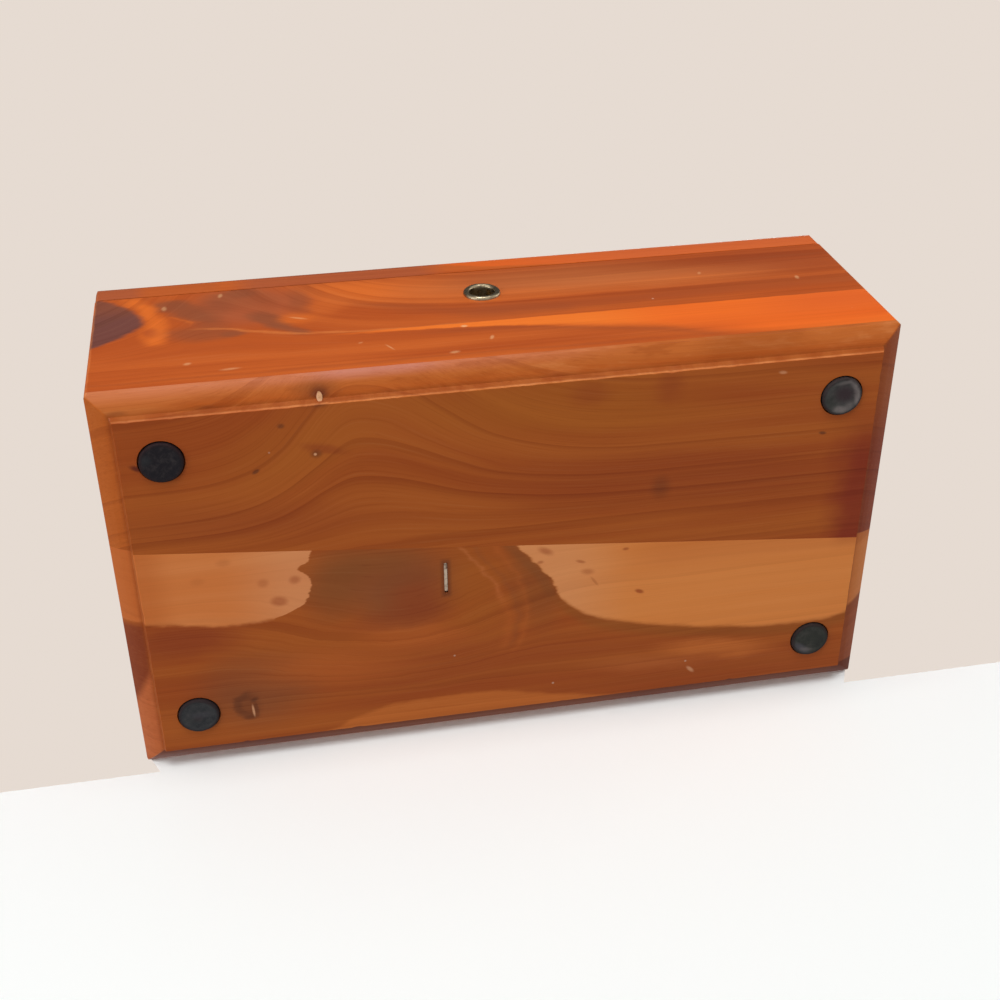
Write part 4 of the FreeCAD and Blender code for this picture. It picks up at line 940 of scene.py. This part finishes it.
def metal_finish(name, colour, film, amount, film_rough=0.0):
    """Plated or drawn metal with its dull film."""
    net = Finish(name)
    dull, rough, height = net.use(metal_group, net.position, amount)
    net.set(base_color=net.blend(dull * 0.75, colour, film), roughness=rough + film_rough, metallic=1.0)
    net.bump(height, 0.03)
    return net.material


def steel_finish(name, amount):
    """Dull bright steel with specks of rust."""
    metal = bpy.context.scene.chest_metal
    net = Finish(name)
    dull, rough, height = net.use(metal_group, net.position, amount)
    specks = net.step(net.noise(net.position, scale=0.9, detail=3.0), 0.52, 0.7)
    colour = net.blend(dull * 0.5, metal.steel, metal.tarnish)
    net.set(
        base_color=net.blend(specks * 0.7, colour, metal.rust), roughness=rough + specks * 0.3,
        metallic=1 - specks * 0.8,
    )
    net.bump(height + specks, 0.03)
    return net.material


# Tones of the feet.
SLATE = shade(54, 56, 59)
IRON = shade(52, 54, 50)
STONE = shade(74, 74, 73)
BLOT = shade(58, 46, 50)
HAZE = shade(92, 88, 96)


def rubber_finish(name, tone, marks, seed, centre):
    """Rubber, ground grey and dusty in patches, each foot in its own way, and darkened at its rim by a
    painted shade of its recess.
    """
    metal = bpy.context.scene.chest_metal
    net = Finish(name)
    side, rise = net.x - centre.x * MILLIMETRES, net.y - centre.y * MILLIMETRES
    finer = 4
    places = net.use(wander_group, side * finer, rise * finer, seed, 6.0)
    net.plain = net.moved = [place / finer for place in places]
    shifted = net.join(side, rise, seed)
    blots = net.noise(shifted, scale=0.45, detail=5.0, roughness=0.66)
    grain = net.noise(shifted, scale=3.2, detail=4.0)
    net.colour = net.blend(net.step(blots, 0.42, 0.74) * 0.13, tone, metal.rubber_worn)
    net.lay(net.step(blots, 0.5, 0.34) * 0.35, metal.rubber)
    net.spots(marks)
    net.lay(net.step(grain, 0.5, 0.8) * 0.06, metal.rubber_worn)
    # Painted shade: a dark maroon ring at the rim, where the foot sits in its recess.
    net.lay(net.step(net.length(side, rise) + (blots - 0.5) * 1.6, 4.9, 5.9) * 0.75, shade(40, 24, 26))
    net.set(base_color=net.colour, roughness=0.6 + grain * 0.2, specular_ior_level=0.15)
    net.bump(grain * 0.6 + blots, 0.12, 0.7)
    return net.material


# Shapes.

def merged_copy(node):
    """A CAD node's mesh with its loose triangles joined and its flat faces made whole."""
    flat = math.radians(0.4)
    mesh = bmesh.new()
    mesh.from_mesh(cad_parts[node].data)
    bmesh.ops.remove_doubles(mesh, verts=mesh.verts, dist=SAME_POINT)
    bmesh.ops.dissolve_limit(mesh, angle_limit=flat, verts=mesh.verts, edges=mesh.edges)
    return mesh


def ease(mesh, width, angle=28.0, segments=2):
    """Round the edges that turn more than an angle."""
    limit = math.radians(angle)
    edges = [edge for edge in mesh.edges if len(edge.link_faces) == 2 and edge.calc_face_angle(0) > limit]
    bmesh.ops.bevel(
        mesh, geom=edges, offset=width, offset_type="OFFSET", segments=segments, profile=0.5,
        affect="EDGES", clamp_overlap=True, material=-1,
    )


def turned(corners, axis, steps, closed=False):
    """A mesh turned all the way round an axis through the origin, from a line through corners."""
    mesh = bmesh.new()
    points = [mesh.verts.new(corner) for corner in corners]
    others = points[1:] + points[:1] if closed else points[1:]
    edges = [mesh.edges.new(pair) for pair in zip(points, others)]
    bmesh.ops.spin(
        mesh, geom=points + edges, cent=(0, 0, 0), axis=axis, dvec=(0, 0, 0), angle=FULL_TURN, steps=steps,
        use_merge=True, use_duplicate=False,
    )
    bmesh.ops.remove_doubles(mesh, verts=mesh.verts, dist=SAME_POINT)
    return mesh


def finished(name, mesh, material, body, nodes, sharp=40.0):
    """Make the piece: its mesh, its smooth faces, its material, and what it rides on and stands for."""
    limit = math.radians(sharp)
    for face in mesh.faces:
        face.smooth = True
    for edge in mesh.edges:
        edge.smooth = edge.calc_face_angle(0) < limit
    data = bpy.data.meshes.new(name)
    mesh.to_mesh(data)
    mesh.free()
    data.materials.append(material)
    piece = bpy.data.objects.new(name, data)
    bpy.context.scene.collection.objects.link(piece)
    even = piece.modifiers.new("Even normals", "WEIGHTED_NORMAL")
    even.keep_sharp = True
    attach(piece, body)
    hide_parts(*nodes)


def eased_piece(node, material, body, width):
    mesh = merged_copy(node)
    ease(mesh, width)
    finished(node + "_eased", mesh, material, body, [node])


def slices(mesh, axis, low, high, step, wanted):
    """Cut the faces that are wanted by planes across an axis, so that their edges can be shaped."""
    count = max(int((high - low) / step), 1)
    for index in range(1, count):
        place = low + (high - low) * index / count
        faces = [face for face in mesh.faces if wanted(face)]
        near = {edge for face in faces for edge in face.edges}
        near |= {vert for face in faces for vert in face.verts}
        bmesh.ops.bisect_plane(
            mesh, geom=faces + list(near), dist=SAME_POINT / 2, plane_co=axis * place, plane_no=axis
        )


def torn(place, seed):
    """How far the edge is torn at a place along it, from 0 to 1: small bites and a few larger chips."""
    rates = (0.9, 0), (0.11, 5), (0.23, 9)
    fine, slow, chip = (noise.noise(Vector((place * rate, seed + shift, 0))) for rate, shift in rates)
    chip_start, chip_gain = 0.32, 2.2
    return abs(fine) * (0.35 + 0.4 * max(slow, 0)) + max(chip - chip_start, 0) * chip_gain


# Operators.

class ChestOperator:
    """What every step of the finish shares."""

    bl_options = {"REGISTER", "UNDO"}


class CHEST_OT_walls(ChestOperator, bpy.types.Operator):
    """Ease the edges of the four wall boards and lay their grain"""

    bl_idname = "cedar_chest.walls"
    bl_label = "Walls"

    def execute(self, context):
        cedar, width = context.scene.chest_cedar, context.scene.chest_sizes.wall_ease
        eased_piece("front_wall", front_wall_finish(cedar), "chest", width)
        for node in ("rear_wall", "left_end", "right_end"):
            eased_piece(node, plain_board_finish(node, cedar), "chest", width)
        return {"FINISHED"}


class CHEST_OT_base(ChestOperator, bpy.types.Operator):
    """Shape the two base boards, with the torn foot of their bevel"""

    bl_idname = "cedar_chest.base"
    bl_label = "Base"

    foot_height = 3.4 * MM  # the faces whose middle is lower than this are cut into short stretches
    rim_reach = 7.4 * MM  # points nearer than this to a side belong to its bevel
    corner_reach = 9 * MM  # no point nearer than this to the next side is torn
    eased_turn = 38.0
    smooth_turn = 30.0

    def execute(self, context):
        cedar = context.scene.chest_base_cedar
        looks = {"base_board_front": base_front_finish(cedar), "base_board_rear": base_rear_finish(cedar)}
        for node, material in looks.items():
            self.make_board(context.scene.chest_sizes, node, material)
        return {"FINISHED"}

    def make_board(self, sizes, node, material):
        mesh = merged_copy(node)
        low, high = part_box(node)
        steep = 0.2

        def at_foot(face):
            return low.z < face.calc_center_median().z < low.z + self.foot_height

        def along_front(face):
            return abs(face.normal.y) > steep and at_foot(face)

        def along_end(face):
            return abs(face.normal.x) > steep > abs(face.normal.y) and at_foot(face)

        slices(mesh, Vector((1, 0, 0)), low.x, high.x, sizes.torn_step, along_front)
        slices(mesh, Vector((0, 1, 0)), low.y, high.y, sizes.torn_step, along_end)
        self.tear(mesh, sizes, low.z)
        ease(mesh, sizes.joint_ease, self.eased_turn, segments=1)
        finished(node + "_torn", mesh, material, "chest", [node], self.smooth_turn)

    def tear(self, mesh, sizes, underside):
        """Move the points at the foot of the bevel in from the sides, within the flat underside."""
        halves = (HALF_LENGTH * MM, HALF_DEPTH * MM)
        level = 0.01 * MM
        for vert in mesh.verts:
            if abs(vert.co.z - underside) > level:
                continue
            for along, across, seed in ((0, 1, 1), (1, 0, 6)):
                place, side = vert.co[along], vert.co[across]
                on_rim = halves[across] - abs(side) < self.rim_reach
                if on_rim and halves[along] - abs(place) > self.corner_reach:
                    bite = torn(place * MILLIMETRES, seed + math.copysign(1, side)) * sizes.torn_edge
                    vert.co[across] -= math.copysign(bite, side)
                    break


class CHEST_OT_lid(ChestOperator, bpy.types.Operator):
    """Ease the edges of the two lid boards and lay their grain"""

    bl_idname = "cedar_chest.lid"
    bl_label = "Lid"

    def execute(self, context):
        cedar, width = context.scene.chest_cedar, context.scene.chest_sizes.wall_ease
        rear = "lid_board_rear"
        eased_piece("lid_board_front", lid_front_finish(cedar), "lid", width)
        eased_piece(rear, plain_board_finish(rear, cedar), "lid", width)
        return {"FINISHED"}


class CHEST_OT_feet(ChestOperator, bpy.types.Operator):
    """Turn the four rubber feet, each worn in its own way"""

    bl_idname = "cedar_chest.feet"
    bl_label = "Feet"

    turned_steps = 72
    face_rings = 14
    face_share = 0.9  # share of the radius where the flat face ends
    rim = ((0.945, 0.04), (0.975, 0.14), (0.994, 0.36), (1.0, 0.8))  # share of the radius, and height in mm
    waist_share = 0.99
    ground_height = 1.0 * MM  # what is lower is pitted
    pit = 0.12 * MM
    grit = ((0.9, 0.5), (2.3, 0.25))  # rate and share of the noise that pits it
    nibbled_height = 1.5 * MM  # the rim below this is nibbled in
    nibble = 0.025
    nibble_rate = 0.35
    nibble_seed = Vector((0, 0, 9))

    def execute(self, context):
        metal = context.scene.chest_metal
        worn = metal.rubber_worn
        # Each foot: how far it is ground down, its tone, and its marks from its middle, as spots has them.
        feet = {
            "foot_front_left": (0.02, metal.rubber, [(-4.2, -1.2, 1.5, 1.3, 0, 0.8, 0.5, SLATE)]),
            "foot_front_right": (0.95, STONE, [
                (-3.4, 1.6, 2.2, 3.0, 10, 0.8, 0.6, IRON),
                (4.4, -0.4, 3.4, 0.9, 78, 0.6, 0.9, worn), (3.2, -3.6, 1.9, 0.7, 50, 0.7, 0.6, worn),
                (0.6, -4.6, 2.6, 0.6, -12, 0.7, 0.5, worn), (2.2, 3.4, 2.2, 1.0, -40, 0.8, 0.5, worn),
                (-0.4, 4.2, 1.8, 1.0, 10, 0.7, 0.7, worn), (0.7, -0.8, 3.0, 2.6, 20, 0.7, 0.95, BLOT),
            ]),
            "foot_rear_left": (0.25, SLATE, [
                (-0.4, 1.0, 1.2, 1.0, 0, 0.8, 0.5, BLOT), (0.6, -0.4, 2.6, 1.0, 0, 0.8, 0.25, HAZE),
                (-2.6, 1.4, 1.6, 1.2, 0, 0.8, 0.25, STONE),
            ]),
            "foot_rear_right": (0.3, IRON, [
                (-2.8, 2.9, 3.0, 1.1, 38, 0.7, 0.65, HAZE), (-1.2, 3.6, 1.8, 0.7, 10, 0.7, 0.4, worn),
                (1.4, -1.0, 2.6, 2.2, 0, 0.8, 0.4, IRON),
            ]),
        }
        for index, (node, (share, tone, marks)) in enumerate(feet.items()):
            low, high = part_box(node)
            material = rubber_finish(f"Rubber {index + 1}", tone, marks, 7.0 * index, (low + high) / 2)
            self.make_foot(context.scene.chest_sizes, node, share, index, material)
        return {"FINISHED"}

    def make_foot(self, sizes, node, share, index, material):
        low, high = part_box(node)
        centre = (low + high) / 2
        radius = (high.x - low.x) / 2 - sizes.foot_gap
        tall = high.z - low.z
        dish = sizes.foot_dish * (0.3 + share)
        rings = [ring / self.face_rings for ring in range(self.face_rings + 1)]
        outline = [(ring * self.face_share, dish * (1 - ring ** 2)) for ring in rings]
        outline += [(reach, height * MM) for reach, height in self.rim] + [(self.waist_share, tall)]
        corners = [(reach * radius, 0, height) for reach, height in outline]
        mesh = turned([*corners, (0, 0, tall)], (0, 0, 1), self.turned_steps)
        for vert in mesh.verts:
            spot = Vector((vert.co.x, vert.co.y, index * MM)) * MILLIMETRES
            rough = sum(noise.noise(spot * rate) * part for rate, part in self.grit)
            if vert.co.z < self.ground_height:
                vert.co.z = max(vert.co.z + (rough + 0.3) * self.pit * (0.6 + share), 0)
            reach = Vector((vert.co.x, vert.co.y)).length
            if reach > radius * self.face_share and vert.co.z < self.nibbled_height:
                shrink = 1 - abs(noise.noise(spot * self.nibble_rate + self.nibble_seed)) * self.nibble
                vert.co.x *= shrink
                vert.co.y *= shrink
        bmesh.ops.translate(mesh, verts=mesh.verts, vec=(centre.x, centre.y, low.z))
        bmesh.ops.recalc_face_normals(mesh, faces=mesh.faces)
        finished(node + "_worn", mesh, material, "chest", [node])


class CHEST_OT_wire(ChestOperator, bpy.types.Operator):
    """Bend the staple and drive the brad in the underside of the base"""

    bl_idname = "cedar_chest.wire"
    bl_label = "Staple and Brad"

    wire_thick = 0.6 * MM
    wire_ease = 0.13 * MM
    bend_steps = 6
    head_height = 0.7 * MM
    head_narrow = 0.82
    head_wide = 1.3
    head_slope = 0.48
    head_ease = 0.1 * MM
    sharp_turn = 50.0

    def execute(self, context):
        metal = context.scene.chest_metal
        self.make_staple(context.scene.chest_sizes.staple_bend, steel_finish("Bright Wire", 0.1))
        self.make_brad(metal_finish("Brad Head", metal.brad, metal.brass_dull, 0.05, 0.12))
        return {"FINISHED"}

    def make_staple(self, bend, material):
        low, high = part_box("base_staple")
        across = (low.x + high.x) / 2
        mesh = bmesh.new()
        verts = bmesh.ops.create_grid(mesh, x_segments=1, y_segments=1, size=0.5)["verts"]
        bmesh.ops.scale(mesh, verts=verts, vec=(high.x - low.x, self.wire_thick, 1))
        bmesh.ops.translate(mesh, verts=verts, vec=(across, low.y + self.wire_thick / 2, high.z))
        face = self.lengthen(mesh, mesh.faces[:], (0, 0, low.z + bend - high.z))
        face = self.curve(mesh, face, (across, low.y + bend, low.z + bend))
        face = self.lengthen(mesh, face, (0, high.y - low.y - 2 * bend, 0))
        face = self.curve(mesh, face, (across, high.y - bend, low.z + bend))
        self.lengthen(mesh, face, (0, 0, high.z - low.z - bend))
        bmesh.ops.recalc_face_normals(mesh, faces=mesh.faces)
        ease(mesh, self.wire_ease, self.sharp_turn)
        finished("base_staple_bent", mesh, material, "chest", ["base_staple"])

    def draw_out(self, mesh, faces):
        """Draw the wire out of its end face. Gives the new end face, and its points, still to be moved."""
        made = bmesh.ops.extrude_face_region(mesh, geom=faces)["geom"]
        bmesh.ops.delete(mesh, geom=faces, context="FACES_ONLY")
        kinds = (bmesh.types.BMFace, bmesh.types.BMVert)
        return [[item for item in made if isinstance(item, kind)] for kind in kinds]

    def lengthen(self, mesh, faces, way):
        """Draw the wire on in a straight line."""
        faces, verts = self.draw_out(mesh, faces)
        bmesh.ops.translate(mesh, verts=verts, vec=way)
        return faces

    def curve(self, mesh, faces, centre):
        """Bend the wire a quarter turn."""
        turn = Matrix.Rotation(math.pi / 2 / self.bend_steps, 3, "X")
        for _ in range(self.bend_steps):
            faces, verts = self.draw_out(mesh, faces)
            bmesh.ops.rotate(mesh, verts=verts, cent=centre, matrix=turn)
        return faces

    def make_brad(self, material):
        """The brad, its head hammered to an oval that follows the slope of the bevel."""
        mesh = merged_copy("base_brad")
        low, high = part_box("base_brad")
        centre = (low + high) / 2
        for vert in mesh.verts:
            if vert.co.z < low.z + self.head_height:
                vert.co.x = centre.x + (vert.co.x - centre.x) * self.head_narrow
                vert.co.y = centre.y + (vert.co.y - centre.y) * self.head_wide
                vert.co.z -= (vert.co.y - centre.y) * self.head_slope
        ease(mesh, self.head_ease, self.sharp_turn)
        finished("base_brad_head", mesh, material, "chest", ["base_brad"])


class CHEST_OT_eyelet(ChestOperator, bpy.types.Operator):
    """Turn the keyhole eyelet with its rolled rim"""

    bl_idname = "cedar_chest.eyelet"
    bl_label = "Keyhole Eyelet"

    bore = 3.9 * MM
    thick = 0.55 * MM
    turned_steps = 96
    rolled_steps = 12
    rolled_power = 0.8
    rolled_start = 0.3 * MM  # how far behind the wall's face the rolled rim starts in the bore
    dented_from = 0.2 * MM  # how far before the wall's face the dents start
    dent = 0.14 * MM
    dent_rate = 0.5
    smooth_turn = 60.0

    def execute(self, context):
        metal = context.scene.chest_metal
        material = metal_finish("Aged Nickel", metal.nickel, metal.tarnish, 0.25)
        low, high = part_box("keyhole_eyelet")
        centre = (low + high) / 2
        face = -HALF_DEPTH * MM
        bore, barrel = self.bore, self.bore + self.thick
        crown = ((high.x - low.x) / 2 + bore) / 2
        outline = [(barrel, high.y), (bore, high.y), (bore, face + self.rolled_start)]
        for index in range(1, self.rolled_steps + 1):
            turn = math.pi * index / self.rolled_steps
            rise = math.sin(turn) ** self.rolled_power
            outline.append((crown - (crown - bore) * math.cos(turn), face - (face - low.y) * rise))
        outline.append((barrel, face))
        corners = [(reach, place, 0) for reach, place in outline]
        mesh = turned(corners, (0, 1, 0), self.turned_steps, closed=True)
        for vert in mesh.verts:
            if vert.co.y < face - self.dented_from:
                deep = abs(noise.noise(vert.co * MILLIMETRES * self.dent_rate)) * self.dent
                vert.co.y = max(vert.co.y + deep, low.y)
        bmesh.ops.translate(mesh, verts=mesh.verts, vec=(centre.x, 0, centre.z))
        bmesh.ops.recalc_face_normals(mesh, faces=mesh.faces)
        node = "keyhole_eyelet"
        finished(node + "_rolled", mesh, material, "chest", [node], self.smooth_turn)
        return {"FINISHED"}


class CHEST_OT_lock(ChestOperator, bpy.types.Operator):
    """Ease the lock's plates, bolt and striker, and give its works their steel"""

    bl_idname = "cedar_chest.lock"
    bl_label = "Lock"

    eased = {
        "lock_back_plate": "chest", "lock_cover_plate": "chest", "lock_bolt": "lock_bolt",
        "striker_plate": "lid", "lock_screws": "chest", "striker_screws": "lid",
    }
    kept = ("lock_guide_posts", "key_pin", "lock_spring")

    def execute(self, context):
        metal = context.scene.chest_metal
        plate = metal_finish("Brassed Steel", metal.brass, metal.brass_dull, 0.3, 0.1)
        works = steel_finish("Lock Steel", 0.2)
        width = context.scene.chest_sizes.metal_ease
        for node, body in self.eased.items():
            eased_piece(node, works if node == "lock_bolt" else plate, body, width)
        for node in self.kept:
            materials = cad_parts[node].data.materials
            materials.clear()
            materials.append(works)
        return {"FINISHED"}


class CHEST_OT_hinges(ChestOperator, bpy.types.Operator):
    """Ease the leaves, pins and screws of the two hinges"""

    bl_idname = "cedar_chest.hinges"
    bl_label = "Hinges"

    def execute(self, context):
        metal = context.scene.chest_metal
        brass = metal_finish("Aged Brass", metal.brass, metal.brass_dull, 0.2)
        screws = metal_finish("Brass Screws", metal.brass, metal.brass_dull, 0.45, 0.08)
        width = context.scene.chest_sizes.metal_ease
        for side in ("left", "right"):
            for part, body in (("wall_leaf", "chest"), ("pin", "chest"), ("lid_leaf", "lid")):
                eased_piece(f"hinge_{side}_{part}", brass, body, width)
        for node, body in (("hinge_wall_screws", "chest"), ("hinge_lid_screws", "lid")):
            eased_piece(node, screws, body, width)
        return {"FINISHED"}


class CHEST_OT_stage(ChestOperator, bpy.types.Operator):
    """Set the floor, the table, the lamps, the world and the camera"""

    bl_idname = "cedar_chest.stage"
    bl_label = "Stage"

    # Each lamp: the way it lies from the chest, its distance and width in metres, and the level it gives.
    lamps = {
        "Key": ((-0.05, -0.98, -0.18), 1.7, 0.9, 0.6),
        "Left": ((-0.85, -0.35, -0.4), 1.9, 1.1, 0.3),
        "Top": ((0.3, 0.5, 0.81), 1.8, 1.3, 0.62),
        "Back": ((-0.45, 0.85, 0.25), 1.9, 1.2, 0.25),
        "Right": ((0.95, -0.1, 0.2), 2.0, 1.2, 0.24),
    }
    fill_colour = (1, 0.975, 0.945)
    reach = 6.0  # half the floor's width, in metres

    def execute(self, context):
        stage = context.scene.chest_stage
        pale = self.pale_material(stage)
        reach = self.reach
        square = (-reach, -reach), (reach, -reach), (reach, reach), (-reach, reach)
        self.plane("Floor", [(x, y, 0) for x, y in square], pale)
        # The table that the chest lies on in the photograph goes on behind the base, up to the rear wall.
        back = CAD_HIGH.y + 0.1 * MM
        under, step = -0.2 * MM, 9 * MM
        narrow, wide = 0.112, 0.1162
        outline = (
            (-reach, -reach), (reach, -reach), (reach, under), (narrow, under), (wide, step),
            (-wide, step), (-narrow, under), (-reach, under),
        )
        self.plane("Table", [(x, back, z) for x, z in outline], pale)
        self.world(context.scene, stage)
        for name, lamp in self.lamps.items():
            self.lamp(name, *lamp)
        self.camera(context.scene, stage)
        context.scene.view_settings.view_transform = "Standard"
        return {"FINISHED"}

    def plane(self, name, corners, material):
        """A one-sided pale surface that light and reflections pass, so that it shades only itself."""
        mesh = bmesh.new()
        mesh.faces.new([mesh.verts.new(corner) for corner in corners])
        data = bpy.data.meshes.new(name)
        mesh.to_mesh(data)
        mesh.free()
        data.materials.append(material)
        piece = bpy.data.objects.new(name, data)
        bpy.context.scene.collection.objects.link(piece)
        for ray in ("shadow", "diffuse", "glossy", "transmission"):
            setattr(piece, "visible_" + ray, False)

    def pale_material(self, stage):
        """Matt and pale from the front, clear from behind and far away, where the backdrop takes over."""
        material = bpy.data.materials.new("Pale Ground")
        material.use_nodes = True
        net = Net(material.node_tree)
        net.tree.nodes.clear()
        behind = net.wire("NewGeometry", output="Backfacing")
        away = net.length(*net.split(net.wire("TexCoord", output="Object")))
        clear = net.math("MAXIMUM", behind, net.step(away, 0.5, 1.5))
        surfaces = net.wire("BsdfDiffuse", {"Color": stage.floor_colour}), net.wire("BsdfTransparent")
        net.node("OutputMaterial", (net.wire("MixShader", (clear, *surfaces)),))
        return material

    def world(self, scene, stage):
        """An even fill, which the camera and reflections see as a pale backdrop."""
        scene.world = bpy.data.worlds.new("Pale Room")
        scene.world.use_nodes = True
        net = Net(scene.world.node_tree)
        glow = net.tree.nodes["Background"]
        path = net.node("LightPath")
        seen, glossy, through = (
            Wire(net, path.outputs[f"Is {kind} Ray"]) for kind in ("Camera", "Glossy", "Transmission")
        )
        way = net.split(net.wire("TexCoord", output="Generated"))
        above = net.step(way[2], 0.05, 0.5)
        room = above * (stage.ceiling - stage.backdrop) + stage.backdrop
        mirrored = net.math("MAXIMUM", glossy, through) * (1 - seen)
        level = stage.world_level + seen * (stage.backdrop - stage.world_level)
        net.feed(glow.inputs["Color"], net.blend(seen, self.fill_colour, stage.backdrop_colour))
        net.feed(glow.inputs["Strength"], level + mirrored * (room - stage.world_level))

    def lamp(self, name, way, distance, width, level):
        """A square soft lamp. Its power gives a surface that faces it the level asked for."""
        way = Vector(way).normalized()
        data = bpy.data.lights.new(name, "AREA")
        data.size = width
        data.energy = level * (math.pi * distance) ** 2
        lamp = bpy.data.objects.new(name, data)
        lamp.location = (CAD_LOW + CAD_HIGH) / 2 + way * distance
        lamp.rotation_euler = way.to_track_quat("Z", "Y").to_euler()
        bpy.context.scene.collection.objects.link(lamp)

    def camera(self, scene, stage):
        """The photograph's view: the chest lies on its rear wall, its underside to the camera."""
        right = Vector((0.98222911, 0.00608021, -0.18758732))
        down = Vector((-0.10366628, 0.85075718, -0.51523347))
        ahead = Vector((0.15645853, 0.52552379, 0.83626878))
        data = bpy.data.cameras.new("Photograph view")
        data.sensor_width = 36
        data.lens = stage.lens
        data.clip_start = 0.01
        camera = bpy.data.objects.new("Photograph view", data)
        turn = Matrix((right, -down, -ahead)).transposed()
        camera.matrix_world = Matrix.Translation(stage.camera_place) @ turn.to_4x4()
        scene.collection.objects.link(camera)
        scene.camera = camera


class VIEW3D_PT_cedar_chest(bpy.types.Panel):
    """The steps of the finish, and their sizes and colours"""

    bl_label = "Cedar Chest"
    bl_space_type = "VIEW_3D"
    bl_region_type = "UI"
    bl_category = "Cedar Chest"

    def draw(self, context):
        layout = self.layout
        for step in STEPS:
            layout.operator(step.bl_idname)
        for name, holder in SETTINGS.items():
            box = layout.box()
            settings = getattr(context.scene, name)
            for label in holder.__annotations__:
                box.prop(settings, label)


STEPS = (
    CHEST_OT_stage, CHEST_OT_walls, CHEST_OT_base, CHEST_OT_lid, CHEST_OT_feet,
    CHEST_OT_wire, CHEST_OT_eyelet, CHEST_OT_lock, CHEST_OT_hinges,
)
SETTINGS = {
    "chest_cedar": ChestCedar,
    "chest_base_cedar": ChestBaseCedar,
    "chest_metal": ChestMetal,
    "chest_sizes": ChestSizes,
    "chest_stage": ChestStage,
}


def register():
    for holder in (*SETTINGS.values(), *STEPS, VIEW3D_PT_cedar_chest):
        bpy.utils.register_class(holder)
    for name, holder in SETTINGS.items():
        setattr(bpy.types.Scene, name, bpy.props.PointerProperty(type=holder))


def unregister():
    for name in SETTINGS:
        delattr(bpy.types.Scene, name)
    for holder in (VIEW3D_PT_cedar_chest, *reversed(STEPS), *reversed(SETTINGS.values())):
        bpy.utils.unregister_class(holder)


def main():
    """Build the finish."""
    register()
    build_groups()
    for step in STEPS:
        area, name = step.bl_idname.split(".")
        getattr(getattr(bpy.ops, area), name)()


if __name__ == "__main__":
    main()
